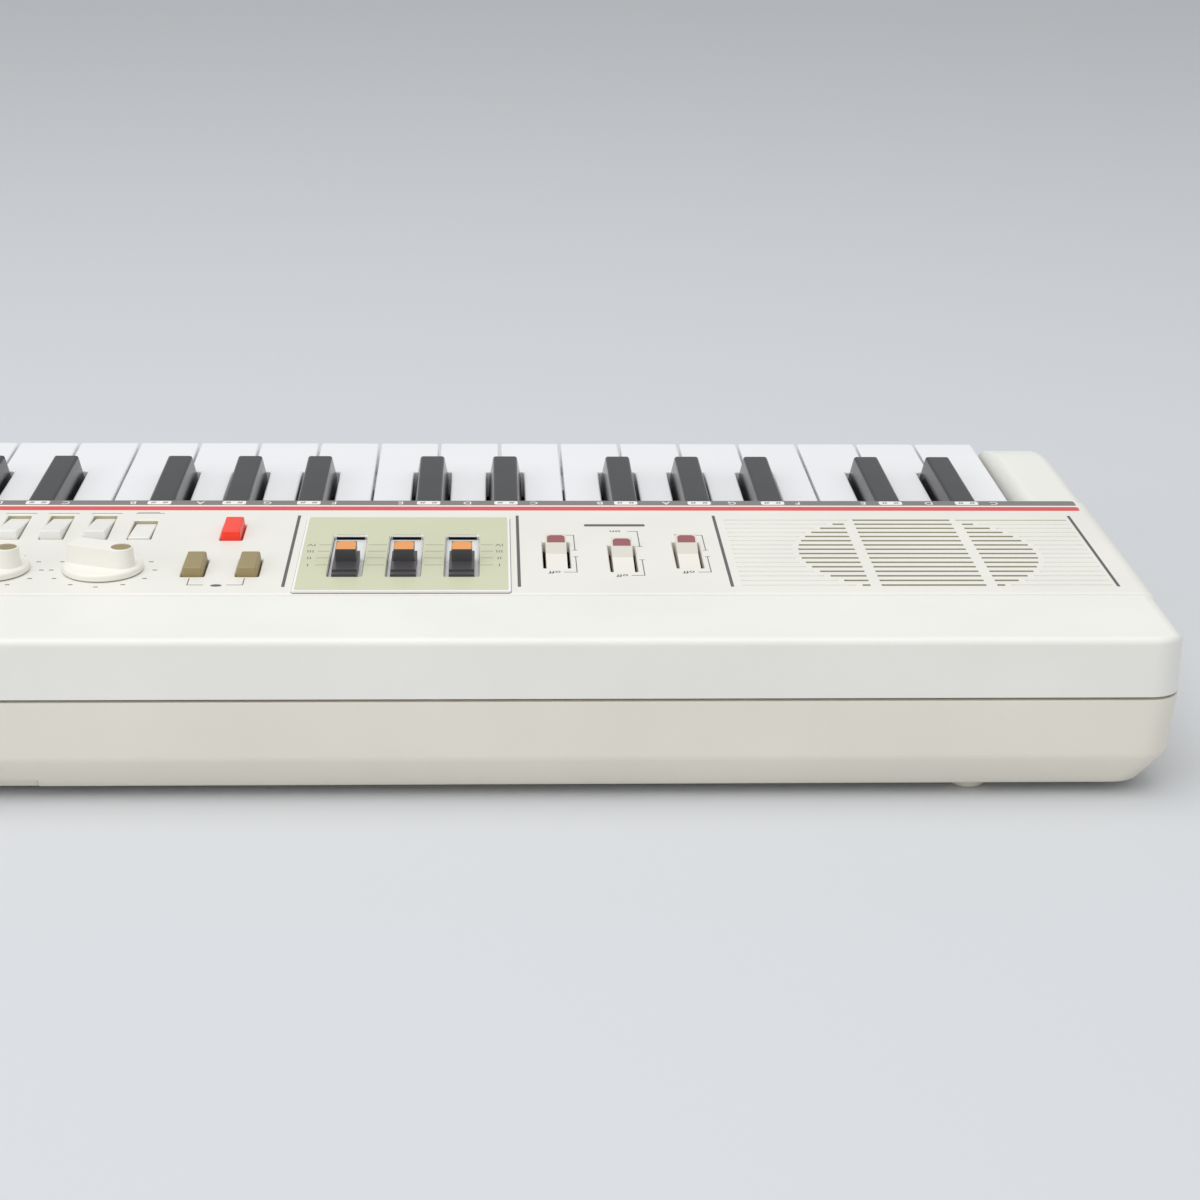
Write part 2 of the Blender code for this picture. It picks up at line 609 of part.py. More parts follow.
def white_key(index, name, material):
    left = key_left_edge(index) + KEY_GAP / 2
    right = key_left_edge(index + 1) - KEY_GAP / 2
    middle = (left + right) / 2
    pivot = (middle, KEY_PIVOT_Y, KEY_UNDERSIDE)
    key = place(name, side_prism(white_key_outline(), left, right), material, pivot)
    for neighbour in (index - 1, index):
        if not has_black_key(neighbour):
            continue
        centre = black_key_centre(neighbour)
        reach = BLACK_KEY_BASE_WIDTH / 2 + BLACK_KEY_CLEARANCE
        if neighbour < index:
            x0, x1 = left - OVERSHOOT, centre + reach
        else:
            x0, x1 = centre - reach, right + OVERSHOOT
        cut(key, box(x0, x1, BLACK_KEY_FRONT - BLACK_KEY_CLEARANCE, KEY_PIVOT_Y + KEY_TAIL + OVERSHOOT,
                     KEY_UNDERSIDE - OVERSHOOT, KEY_TOP + OVERSHOOT))
    round_edges(key, KEY_EDGE)
    return key


def black_key(index, name, material):
    centre = black_key_centre(index)
    half_base = BLACK_KEY_BASE_WIDTH / 2
    half_top = BLACK_KEY_TOP_WIDTH / 2
    tail = KEY_PIVOT_Y + KEY_TAIL
    cap_rear = PANEL_FRONT - 2 * FIT_GAP
    cap_top = KEY_TOP + BLACK_KEY_RISE
    wall_top = cap_top - BLACK_KEY_WALL_BELOW_TOP
    pivot = (centre, KEY_PIVOT_Y, KEY_UNDERSIDE)
    base = box(centre - half_base, centre + half_base, BLACK_KEY_FRONT, tail, KEY_UNDERSIDE, wall_top)
    key = place(name, base, material, pivot)
    rings = []
    for z, front, half in ((wall_top - JOIN_DEPTH, BLACK_KEY_FRONT, half_base),
                           (wall_top, BLACK_KEY_FRONT, half_base),
                           (cap_top, BLACK_KEY_FRONT + BLACK_KEY_FRONT_SLOPE, half_top)):
        rings.append([(centre - half, front, z), (centre + half, front, z),
                      (centre + half, cap_rear, z), (centre - half, cap_rear, z)])
    join(key, loft(bmesh.new(), rings))
    round_edges(key, KEY_EDGE)
    return key


def keys(white, black):
    for index in range(WHITE_KEY_COUNT):
        octave = index // KEYS_IN_OCTAVE + 1
        note = WHITE_NAMES[index % KEYS_IN_OCTAVE]
        white_key(index, f"white_key_{note.lower()}{octave}", white)
        if has_black_key(index):
            black_key(index, f"black_key_{note.lower()}_sharp{octave}", black)


def key_frame(material):
    """A channel: the rear rail with the ridge that the keys turn on, and the front stop rail."""
    bottom = FLOOR_TOP + FIT_GAP
    ridge_top = KEY_UNDERSIDE - FIT_GAP
    stop_drop = KEY_TRAVEL * (KEY_PIVOT_Y - FRAME_STOP_Y + FRAME_RAIL / 2) / (KEY_PIVOT_Y - KEY_FRONT)
    stop_top = KEY_UNDERSIDE - stop_drop - FIT_GAP
    stop_front = FRAME_STOP_Y - FRAME_RAIL / 2
    stop_rear = FRAME_STOP_Y + FRAME_RAIL / 2
    rail_front = KEY_PIVOT_Y - FRAME_RAIL / 2
    rail_rear = KEY_PIVOT_Y + FRAME_RAIL / 2
    ridge_front = KEY_PIVOT_Y - FRAME_RIDGE / 2
    ridge_rear = KEY_PIVOT_Y + FRAME_RIDGE / 2
    shoulder = ridge_top - FRAME_RIDGE
    web_top = bottom + FRAME_WEB
    outline = [(stop_front, bottom), (rail_rear, bottom), (rail_rear, shoulder), (ridge_rear, shoulder),
               (ridge_rear, ridge_top), (ridge_front, ridge_top), (ridge_front, shoulder),
               (rail_front, shoulder), (rail_front, web_top), (stop_rear, web_top),
               (stop_rear, stop_top), (stop_front, stop_top)]
    return place("key_frame", side_prism(outline, -FRAME_HALF_LENGTH, FRAME_HALF_LENGTH), material)


def circuit_board(material):
    board = place("circuit_board", box(BOARD_LEFT, BOARD_RIGHT, BOARD_FRONT, BOARD_REAR,
                                       BOARD_UNDERSIDE, BOARD_TOP), material)
    root = BOARD_TOP - BOARD_THICKNESS / 2
    for x in KNOB_X:
        join(board, turned(x, KNOB_Y, ((POT_RADIUS, root), (POT_RADIUS, pot_top())), 24))
    parts = bmesh.new()
    for x in slider_places():
        half = SLIDE_SWITCH_HALF_WIDTH
        box(x - half, x + half, SLIDER_WINDOW_FRONT, SLIDER_WINDOW_REAR, root, switch_top(), parts)
    half_x, half_y = ROCKER_SWITCH_HALF
    for x, y in rocker_places():
        box(x - half_x, x + half_x, y - half_y, y + half_y, root, rocker_seat(), parts)
    half = PUSH_SWITCH_HALF
    for x, front, rear in push_switch_places():
        y = (front + rear) / 2
        box(x - half, x + half, y - half, y + half, root, push_switch_top(), parts)
    join(board, parts)
    for x in SOCKET_X:
        socket = box(x - SOCKET_BODY / 2, x + SOCKET_BODY / 2, SOCKET_FRONT, SOCKET_REAR,
                     SOCKET_Z - SOCKET_BODY / 2, root)
        join(board, socket)
    bores = bmesh.new()
    for x in SOCKET_X:
        lying_cylinder(x, SOCKET_Z, SOCKET_BORE_RADIUS, SOCKET_FRONT + SOCKET_BORE_END, CASE_REAR, 16, bores)
    cut(board, bores)
    return board


def pot_top():
    return BOARD_TOP + POT_HEIGHT


def switch_top():
    return BOARD_TOP + SWITCH_BODY_HEIGHT


def rocker_seat():
    """Top of a rocker's switch body, just clear of the rocker's turning underside."""
    return PANEL_TOP - ROCKER_SEAT_DEPTH


def push_switch_top():
    return PANEL_TOP - BUTTON_DEPTH - BUTTON_TRAVEL - FIT_GAP


def push_switch_places():
    places = [(x, KHAKI_BUTTON_FRONT, KHAKI_BUTTON_REAR) for x in (START_BUTTON_X, SYNCHRO_BUTTON_X)]
    places.append((FILL_IN_BUTTON_X, FILL_IN_BUTTON_FRONT, FILL_IN_BUTTON_REAR))
    switch_front = RHYTHM_BUTTON_FRONT + RHYTHM_SWITCH_FROM_FRONT
    places += [(x, switch_front, RHYTHM_BUTTON_REAR) for x in rhythm_places()]
    return places


def speaker(material):
    """A rim under the grille, a paper cone dished down from it, and the magnet below."""
    top = PANEL_UNDERSIDE - FIT_GAP
    flange = top - SPEAKER_FLANGE
    bottom = top - SPEAKER_DEPTH
    magnet_top = bottom + MAGNET_HEIGHT
    rim = SPEAKER_RADIUS - SPEAKER_RIM
    cone_bottom = magnet_top + CONE_THICKNESS
    profile = (
        (MAGNET_RADIUS, bottom), (MAGNET_RADIUS, magnet_top), (MAGNET_RADIUS - CONE_THICKNESS, magnet_top),
        (rim, flange), (SPEAKER_RADIUS, flange), (SPEAKER_RADIUS, top), (rim, top),
        (rim - CONE_THICKNESS, flange), (DUST_CAP_RADIUS, cone_bottom),
        (DUST_CAP_RADIUS / 2, cone_bottom + DUST_CAP_RISE),
    )
    body = place("speaker", turned(SPEAKER_X, SPEAKER_Y, profile, 40), material)
    smooth(body)
    return body


def sliders(material):
    for number, x in enumerate(slider_places(), start=1):
        rear = SLIDER_WINDOW_REAR - SLIDING_GAP
        base_top = PANEL_TOP + PLATE_HEIGHT + SLIDER_BASE_RISE
        grip_rear = rear - SLIDER_BASE_BEHIND_GRIP
        grip_front = grip_rear - SLIDER_GRIP_LENGTH
        front = SLIDER_WINDOW_FRONT + SLIDER_TRAVEL + SLIDING_GAP
        half = SLIDER_WIDTH / 2
        origin = (x, (front + rear) / 2, PANEL_TOP)
        cap = place(f"variation_slider_{number}",
                    box(x - half, x + half, front, rear, PANEL_UNDERSIDE, base_top), material, origin)
        half = SLIDER_GRIP_WIDTH / 2
        join(cap, box(x - half, x + half, grip_front, grip_rear, PANEL_TOP, base_top + SLIDER_GRIP_RISE))
        half = SLIDER_STEM / 2
        join(cap, box(x - half, x + half, front + SLIDER_STEM_SHORTER, rear - SLIDER_STEM_SHORTER,
                      switch_top() + FIT_GAP, PANEL_TOP - JOIN_DEPTH))
        round_edges(cap, BUTTON_EDGE)


def rocker(name, x, y, material):
    """A rocker with round ends about its pivot: the front end stands up, the rear end is sunk."""
    pivot_z = PANEL_TOP - ROCKER_PIVOT_DEPTH
    raised = math.degrees(math.asin((ROCKER_PIVOT_DEPTH + ROCKER_RAISED_END) / ROCKER_RADIUS))
    sunk = math.degrees(math.asin((ROCKER_PIVOT_DEPTH + ROCKER_SUNK_END) / ROCKER_RADIUS))
    below = math.degrees(math.asin(ROCKER_SIDE_DROP / ROCKER_RADIUS))
    seat = rocker_seat()
    heel_z = seat + ROCKER_HEEL / 2
    outline = arc((y, pivot_z), ROCKER_RADIUS, 180 - raised, 180 + below, 5)
    outline += [(y - ROCKER_HEEL, heel_z), (y, seat + FIT_GAP), (y + ROCKER_HEEL, heel_z)]
    outline += arc((y, pivot_z), ROCKER_RADIUS, -below, sunk, 3)
    outline.append((y, PANEL_TOP + ROCKER_CREST))
    half = ROCKER_WIDTH / 2
    body = place(name, side_prism(outline, x - half, x + half), material, (x, y, pivot_z))
    round_edges(body, BUTTON_EDGE)


def rockers(material):
    names = ("mode_rocker_1", "mode_rocker_2", "mode_rocker_3", "power_rocker")
    for name, (x, y) in zip(names, rocker_places()):
        rocker(name, x, y, material)


def ramp_button(name, x, width, front, rear, rise_front, rise_rear, material, sink=0.0):
    """A button whose top slopes up to the rear, with an origin in the panel's top face."""
    bottom = PANEL_TOP - BUTTON_DEPTH - sink
    outline = [(front, bottom), (rear, bottom), (rear, PANEL_TOP + rise_rear - sink),
               (front, PANEL_TOP + rise_front - sink)]
    half = width / 2
    origin = (x, (front + rear) / 2, PANEL_TOP)
    button = place(name, side_prism(outline, x - half, x + half), material, origin)
    round_edges(button, BUTTON_EDGE, 2)


def buttons(khaki, red, white):
    rise = PLAIN_BUTTON_RISE
    for name, x in (("start_button", START_BUTTON_X), ("synchro_button", SYNCHRO_BUTTON_X)):
        ramp_button(name, x, KHAKI_BUTTON_WIDTH, KHAKI_BUTTON_FRONT, KHAKI_BUTTON_REAR, rise, rise, khaki)
    ramp_button("fill_in_button", FILL_IN_BUTTON_X, KHAKI_BUTTON_WIDTH, FILL_IN_BUTTON_FRONT,
                FILL_IN_BUTTON_REAR, rise, rise, red)
    for number, x in enumerate(rhythm_places(), start=1):
        sink = LATCH_DEPTH if number == 1 else 0.0
        rise_front = LATCHED_RISE_FRONT if number == 1 else RHYTHM_RISE_FRONT
        ramp_button(f"rhythm_button_{number}", x, RHYTHM_BUTTON_WIDTH, rhythm_front(number),
                    RHYTHM_BUTTON_REAR, rise_front, RHYTHM_RISE_REAR, white, sink)


def knob(name, x, material):
    """A round skirt with a bar across it, and a shaft down to the potentiometer."""
    skirt_bottom = PANEL_TOP + FIT_GAP
    skirt_top = skirt_bottom + KNOB_SKIRT_HEIGHT
    radius = KNOB_SKIRT_RADIUS
    profile = ((radius, skirt_bottom), (radius, skirt_top - KNOB_SKIRT_EDGE),
               (radius - KNOB_SKIRT_SHOULDER, skirt_top))
    body = place(name, turned(x, KNOB_Y, profile, KNOB_SIDES), material, (x, KNOB_Y, skirt_bottom))
    shaft_bottom = pot_top() + FIT_GAP
    join(body, turned(x, KNOB_Y, ((KNOB_SHAFT_RADIUS, shaft_bottom),
                                  (KNOB_SHAFT_RADIUS, skirt_bottom + JOIN_DEPTH)), 24))
    bar = bmesh.new()
    rings = []
    for z, shrink in ((skirt_top - JOIN_DEPTH, 0.0), (PANEL_TOP + KNOB_BAR_RISE, KNOB_BAR_TAPER)):
        rings.append(bar_outline(x, z, radius - KNOB_BAR_SHORTER - shrink, KNOB_BAR_WIDTH / 2 - shrink))
    join(body, loft(bar, rings))
    smooth(body)


def bar_outline(x, z, half_length, half_width):
    """Plan of the knob's bar, with round ends, turned a little so its pointer end leans to the rear."""
    flat = half_length - half_width
    points = arc((flat, 0.0), half_width, -90, 90, 6) + arc((-flat, 0.0), half_width, 90, 270, 6)
    lean = -KNOB_BAR_LEAN
    ring = []
    for u, v in points:
        ring.append((x + u * math.cos(lean) - v * math.sin(lean),
                     KNOB_Y + u * math.sin(lean) + v * math.cos(lean), z))
    return ring


def battery_cover(material):
    """A door that slides out to the rear, its rear edge sloped like the underside of the case."""
    half_x = BAY_HALF_X + COVER_LEDGE - FIT_GAP
    front = BAY_Y - BAY_HALF_Y - COVER_LEDGE + FIT_GAP
    rear = CASE_REAR - BELLY_INSET - BELLY_SOFTENING
    slope = (BELLY_INSET - SIDE_DRAFT) / BELLY_HEIGHT * COVER_THICKNESS
    top = FOOT_HEIGHT + COVER_THICKNESS
    outline = [(front, FOOT_HEIGHT), (rear, FOOT_HEIGHT), (rear + slope, top), (front, top)]
    cover = place("battery_cover", side_prism(outline, BAY_X - half_x, BAY_X + half_x),
                  material, (BAY_X, front, FOOT_HEIGHT))
    round_edges(cover, BUTTON_EDGE)


def build():
    clear_scene()
    cream = plastic("cream case", (0.84, 0.83, 0.79), 0.45)
    lower_cream = plastic("lower case cream", (0.66, 0.64, 0.58), 0.5)
    panel_white = plastic("panel white", (0.86, 0.86, 0.83), 0.4)
    white = plastic("white keys", (0.88, 0.89, 0.9), 0.25)
    black = plastic("black keys", (0.05, 0.05, 0.055), 0.35)
    khaki = plastic("khaki buttons", (0.38, 0.32, 0.2), 0.45)
    red = plastic("red button", (0.86, 0.13, 0.06), 0.4)
    cap_black = plastic("slider black", (0.04, 0.04, 0.045), 0.45)
    frame_grey = plastic("frame grey", (0.35, 0.35, 0.36), 0.6)
    board_green = plastic("board green", (0.05, 0.22, 0.1), 0.5)
    cone_black = plastic("loudspeaker", (0.03, 0.03, 0.03), 0.7)
    lower_case(lower_cream)
    upper_case(cream)
    control_panel(panel_white)
    key_frame(frame_grey)
    circuit_board(board_green)
    speaker(cone_black)
    battery_cover(lower_cream)
    keys(white, black)
    sliders(cap_black)
    rockers(cream)
    buttons(khaki, red, cream)
    for number, x in enumerate(KNOB_X, start=1):
        knob(f"knob_{number}", x, cream)


build()
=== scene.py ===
"""Looks of the portable keyboard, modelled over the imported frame.

Metres, +Z up. The player sits at -Y and the low keys are at -X.
"""

import math
from contextlib import contextmanager
from itertools import product

import bmesh
import bpy
from mathutils import Matrix, Vector


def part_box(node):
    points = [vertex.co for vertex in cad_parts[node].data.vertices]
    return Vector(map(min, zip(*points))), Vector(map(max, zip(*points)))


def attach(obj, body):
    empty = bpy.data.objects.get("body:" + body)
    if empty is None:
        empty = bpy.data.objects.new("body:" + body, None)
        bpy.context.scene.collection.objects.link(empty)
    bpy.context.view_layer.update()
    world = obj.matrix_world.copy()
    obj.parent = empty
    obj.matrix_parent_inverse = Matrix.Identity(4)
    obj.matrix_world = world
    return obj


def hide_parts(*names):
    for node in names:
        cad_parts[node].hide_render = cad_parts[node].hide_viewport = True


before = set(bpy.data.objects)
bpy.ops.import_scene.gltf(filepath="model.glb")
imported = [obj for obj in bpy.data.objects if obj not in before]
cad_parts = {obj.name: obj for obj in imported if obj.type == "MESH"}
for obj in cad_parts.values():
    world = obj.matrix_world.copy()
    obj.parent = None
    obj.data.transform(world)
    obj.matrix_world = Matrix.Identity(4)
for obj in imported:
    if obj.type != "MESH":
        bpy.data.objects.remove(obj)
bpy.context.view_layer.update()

MM = 0.001


def mm(*values):
    """Millimetres as metres."""
    return tuple(value * MM for value in values)


SLACK = 0.03 * MM
BEYOND = 5 * MM
FIT_GAP = 0.3 * MM
ALONG_X = (0, math.pi / 2, 0)
ALONG_Y = (math.pi / 2, 0, 0)

# Case
WALL = 2.5 * MM
REAR_CORNER = 8 * MM
FRONT_CORNER = 6 * MM
REAR_EDGE = 1.8 * MM
SIDE_EDGE = 4 * MM
CHEEK_REAR_TOP = 42.3 * MM
CHEEK_FRONT_TOP = 42.1 * MM
CHEEK_BLEND = 3 * MM
CHEEK_CURVE_LENGTH = 34 * MM
CHEEK_CURVE_DROP = 13.8 * MM
CHEEK_CURVE_STEPS = 14
CHEEK_SHOULDER = 3.5 * MM
WELL_HALF = 200.9 * MM
PARTING = 26.8 * MM
PARTING_EDGE = 0.3 * MM
BELLY_TOP = 11.5 * MM
BELLY_BOTTOM = 2.5 * MM
BELLY_INSET = 6.5 * MM
BELLY_EDGE = 1 * MM
SIDE_DRAFT = 1.2 * MM
INNER_BEND = 1 * MM
FLOOR_TOP = 5 * MM
KEY_FRONT_ROOM = 22.7 * MM

# Battery bay and its door. Boxes that are joined on start inside the floor.
JOIN_LEVEL = 4 * MM
BAY_LOW = mm(58, 24.9)
BAY_HIGH = mm(162, 77.1)
BAY_TOP = 20 * MM
BAY_ROOF = 1.5 * MM
BAY_WALL = 2 * MM
DOOR_RIM_REAR = 87 * MM
DOOR_SLOPE = 0.6
DOOR_GRIP = 12 * MM
DOOR_RIB_COUNT = 7
DOOR_RIB_PITCH = 1.3 * MM
DOOR_RIB = mm(11, 0.6, 0.4)

# Sockets, screws and feet: an upright post is given as radius, bottom and top
SOCKET_X = mm(130, 152, 174)
SOCKET_Z = 19 * MM
SOCKET_RADIUS = 4.2 * MM
BUSH_RADIUS = 3.9 * MM
BUSH_LENGTH = 3 * MM
BUSH_DEPTH = 3.4 * MM
BUSH_BORE = 1.8 * MM
SCREW_X = mm(-198, 0, 198)
SCREW_Y = mm(-72, 74)
SCREW = mm(2.8, 3.0, 4.6)
SCREW_CROSS = mm(2, 0.4, 3.8)
SCREW_RECESS = mm(3.6, 0, 4.2)
FOOT_X = mm(-169.2, 169.2)
FOOT_Y = mm(-77, 80)
FOOT = mm(4.5, 0, 3.2)
FOOT_EDGE = 1 * MM
FOOT_DIMPLE = 0.3 * MM

# Panel
PANEL_TOP = 42.8 * MM
PANEL_SIDE = 2.9 * MM
PANEL_EDGE = 0.5 * MM
PANEL_GAP = 0.6 * MM
GROOVE_EDGE = 0.9 * MM
UNDER_PANEL = 30 * MM
WINDOW_CORNER = 0.6 * MM
WINDOW_CHAMFER = 0.3 * MM
WINDOW_FLARE = 0.5 * MM
PLATE_LOW = mm(-56.9, 1.1)
PLATE_HIGH = mm(-2.9, 61.3)
PLATE_RISE = 0.6 * MM
PLATE_TOP = PANEL_TOP + PLATE_RISE
PLATE_CORNER = 0.6 * MM
PLATE_EDGE = 0.15 * MM
PLATE_OUTLINE = 0.15 * MM
PLATE_BORDER = 0.6 * MM

# Loudspeaker grille
GRILLE_CENTRE = mm(-162.8, 30.3)
GRILLE_RADIUS = 31 * MM
GRILLE_BANK = 13.2 * MM
GRILLE_BAR = 2.8 * MM
SLOT_COUNT = 16
SLOT_FIRST = 2.3 * MM
SLOT_PITCH = 3.55 * MM
SLOT_WIDTH = 1.2 * MM
SHORTEST_SLOT = 1.5 * MM
RIB_ENDS = mm(-208.0, -114.6)
RIB_WIDTH = 0.7 * MM
RIB_DEPTH = 0.3 * MM
RIB_FROM_SLOT = 1.6 * MM

# Print: lines are given as left end, right end and place along Y
PRINT_RISE = 0.04 * MM
PRINT_DEPTH = 0.2 * MM
INK_WIDTH = 0.22 * MM
STRIPE_END = 213.7 * MM
STRIPES = {"stripe_grey": mm(-15.0, -10.7), "stripe_white": mm(-10.7, -9.6),
           "stripe_red": mm(-9.6, -6.2)}
NOTE_ROW = -12.9 * MM
NOTE_SIZE = 3.4 * MM
SHARP_BOX = mm(3.2, 1.5)
SHARP_SIDE = 1.6 * MM
SHARP_SIZE = 2.4 * MM
DIVIDER_X = mm(-209.3, -112.1, -59.0, -0.5)
DIVIDER_HALF = 0.4 * MM
DIVIDER_ENDS = mm(-1.5, 56.7)
HEADING_BAR = mm(-93.0, -76.8, 6.1, 7.9)
HEADING_LINES = (mm(37.2, 43.0, -4.2), mm(36.0, 43.4, -3.3),
                 mm(47.2, 55.2, -3.3), mm(58.6, 66.6, -3.3),
                 mm(70.0, 78.0, -3.3))
START_BRACKET = mm(9.5, 23.2, 50.3, 55.2, 3.9)
LENS_PLACE = mm(16.0, 55.6)
LENS_RADIUS = 1.4 * MM
LENS_FLAT = 0.6
BRACKET_SIDE = 4.9 * MM
BRACKET_BAR = 0.6 * MM
BRACKET_ARMS = mm(2.4, 1.7)
BRACKET_ENDS = mm(15.5, 45.5, 28.0, 33.3)
MIDDLE_BRACKET_ENDS = mm(12.3, 48.1, 24.9, 35.8)
SWITCH_WORD_SIZE = 2.9 * MM
OFF_SHIFT = 0.7 * MM
ON_SHIFT = 1 * MM
SCALE_Y = mm(25.4, 30.6, 36.0, 41.6)
SCALE_NAMES = ("IV", "III", "II", "I")
SCALE_NAME_X = mm(-5.6, -54.1)
SCALE_NAME_SIZE = 2.6 * MM
SCALE_LINES = (mm(-10.6, -7.6), mm(-24.9, -20.3), mm(-39.6, -35.0),
               mm(-52.4, -49.4))
SCALE_LINE_WIDTH = 0.15 * MM
TICK_DEGREES = range(-60, 241, 30)
TICK_RADIUS = 12.9 * MM
TICK_HALF = 0.35 * MM
TICK_WIDTH = 0.45 * MM

# Sliders
SLIDER_X = mm(-15.25, -29.9, -44.55)
SLIDER_WINDOW = mm(8.6, 17.0, 50.6)
SLIDER_BED_TOP = 42 * MM
SLIDER_LIFT = 0.15 * MM
SLIDER_BASE_WIDTH = 6.4 * MM
SLIDER_BASE_TOP = 44.4 * MM
SLIDER_STEP = mm(2.2, 0.45)
SLIDER_GRIP = mm(35.0, 41.6)
SLIDER_GRIP_WIDTH = 5.2 * MM
SLIDER_GRIP_TOP = 47.6 * MM
SLIDER_MARK = mm(0.1, 0.2, 0.4, 1.2)
STEM_SLOT = mm(3, 18.9, 41.9)
STEM_INSET = 0.4 * MM
STEM_SHARE = 0.42

# Rockers
ROCKERS = ("mode_rocker_1", "mode_rocker_2", "mode_rocker_3", "power_rocker")
ROCKER_PLACES = (mm(-68.8, 31.5), mm(-85.8, 34.3), mm(-102.8, 31.5),
                 mm(186.0, 31.5))
ROCKER_WIDTH = 5.4 * MM
ROCKER_SIDE_GAP = 0.85 * MM
ROCKER_RADIUS = 10.6 * MM
ROCKER_PIVOT = 39.8 * MM
ROCKER_BODY = 2.3 * MM
ROCKER_HEEL = 3 * MM
ROCKER_HEEL_TAPER = 0.25
ROCKER_CREST = 43 * MM
ROCKER_RAISED = 45.5 * MM
RAISED_REACH = 8.94 * MM
ROCKER_SUNK = 42.2 * MM
SUNK_REACH = 10.33 * MM
ROCKER_EDGE = 0.45 * MM
ROCKER_MARK_HALF = 2.3 * MM
ROCKER_MARK_ENDS = mm(8.6, 5.3)
ROCKER_MARK_DEPTH = 0.3 * MM
ROCKER_MARK_RISE = 0.06 * MM
ROCKER_MARK_CORNER = 1.1 * MM

# Buttons
BUTTON_GAP = 0.35 * MM
BUTTON_TAPER = (0.9, 0.95)
BUTTON_EDGE = 0.45 * MM
RHYTHM_FRONT_DROP = 1 * MM
RHYTHM_EDGE = 0.4 * MM
RHYTHM_HALF_WINDOW = 4 * MM

# Knobs: the bar's ends are its reach to the rounded pointer end and to the square end
KNOBS = {"knob_1": 45.4 * MM, "knob_2": 73.7 * MM}
KNOB_Y = 43.8 * MM
KNOB_LIFT = 0.3 * MM
KNOB_RADIUS = 10 * MM
KNOB_SKIRT = 1.7 * MM
KNOB_SKIRT_EDGE = 0.7 * MM
KNOB_RISE = 6.9 * MM
KNOB_LEAN = math.radians(-22)
KNOB_BAR_ENDS = mm(8.8, 8.6)
KNOB_BAR_HALF = 3.5 * MM
KNOB_BAR_ROUND = 3.4 * MM
KNOB_BAR_CORNER = 0.9 * MM
KNOB_BAR_TAPER = (0.95, 0.92)
KNOB_PAD = mm(5.5, 2.4)
KNOB_PAD_GAP = 0.12 * MM
KNOB_PAD_SEAT = 0.5 * MM
KNOB_PAD_SUNK = 0.15 * MM
KNOB_PAD_DEPTH = 0.45 * MM
SHAFT_RADIUS = 3 * MM
SHAFT_HOLE = 3.4 * MM
SHAFT_BOTTOM = 33 * MM

# Keys
KEY_LIP = 2.2 * MM
KEY_HEIGHT = 8 * MM
KEY_LIP_DROP = 2 * MM
KEY_EDGE = 0.6 * MM
BLACK_GAP = 0.8 * MM
BLACK_TOP_WIDTH = 6.8 * MM
BLACK_WALL = 7 * MM
BLACK_SLOPE = 1.8 * MM
BLACK_CAP_REAR = -16.4 * MM
BLACK_EDGE = 0.7 * MM

# Studio: each lamp's place, size and power, and the view's place with its right, up and back
LAMPS = {"overhead": ((0.1, 0.3, 1.3), 1.4, 9.5), "window": ((1.7, 1.5, 0.85), 1.2, 8)}
SKY_COLOUR = (0.97, 0.985, 1.0, 1.0)
SKY_STRENGTH = 0.6
FLOOR_SIZE = 14
VIEW_LENS = 74.2026
VIEW_PLACE = mm(-52.19, 636.37, 245.58)
VIEW_AXES = ((-0.99904724, 0.04140289, 0.01379881), (-0.00087941, -0.33521789, 0.94214022),
             (0.04363293, 0.94123045, 0.33493492))

upper_low, upper_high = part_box("upper_case")
panel_low, panel_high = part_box("control_panel")
HALF = upper_high[0]
FRONT = upper_low[1]
REAR = upper_high[1]
DECK = upper_high[2]
UPPER_BOTTOM = upper_low[2]
PANEL_BOTTOM = panel_low[2]
PANEL_FRONT = panel_low[1]
PANEL_REAR = panel_high[1]


# Modelling helpers

def only(piece):
    """Go to object mode with only this piece selected."""
    if bpy.context.mode != "OBJECT":
        bpy.ops.object.mode_set(mode="OBJECT")
    bpy.ops.object.select_all(action="DESELECT")
    if piece:
        piece.select_set(True)
        bpy.context.view_layer.objects.active = piece


def take_name(name):
    """Name the new piece and take its place and size into its mesh."""
    piece = bpy.context.object
    piece.name = name
    piece.data.name = name
    bpy.ops.object.transform_apply(location=True, rotation=True, scale=True)
    return piece


def block(name, low, high):
    """A block between two corners."""
    only(None)
    middle = [(a + b) / 2 for a, b in zip(low, high)]
    size = [b - a for a, b in zip(low, high)]
    bpy.ops.mesh.primitive_cube_add(size=1, location=middle)
    bpy.context.object.scale = size
    return take_name(name)


def post(name, x, y, radius, low, high, sides=48):
    """An upright cylinder."""
    only(None)
    bpy.ops.mesh.primitive_cylinder_add(vertices=sides, radius=radius, depth=high - low,
                                        location=(x, y, (low + high) / 2))
    return take_name(name)


def lying_post(name, centre, radius, length, turn, sides=48):
    """A cylinder whose axis has been turned away from the vertical."""
    only(None)
    bpy.ops.mesh.primitive_cylinder_add(vertices=sides, radius=radius, depth=length,
                                        location=centre, rotation=turn)
    return take_name(name)


@contextmanager
def editing(piece):
    only(piece)
    bpy.ops.object.mode_set(mode="EDIT")
    yield
    bpy.ops.object.mode_set(mode="OBJECT")


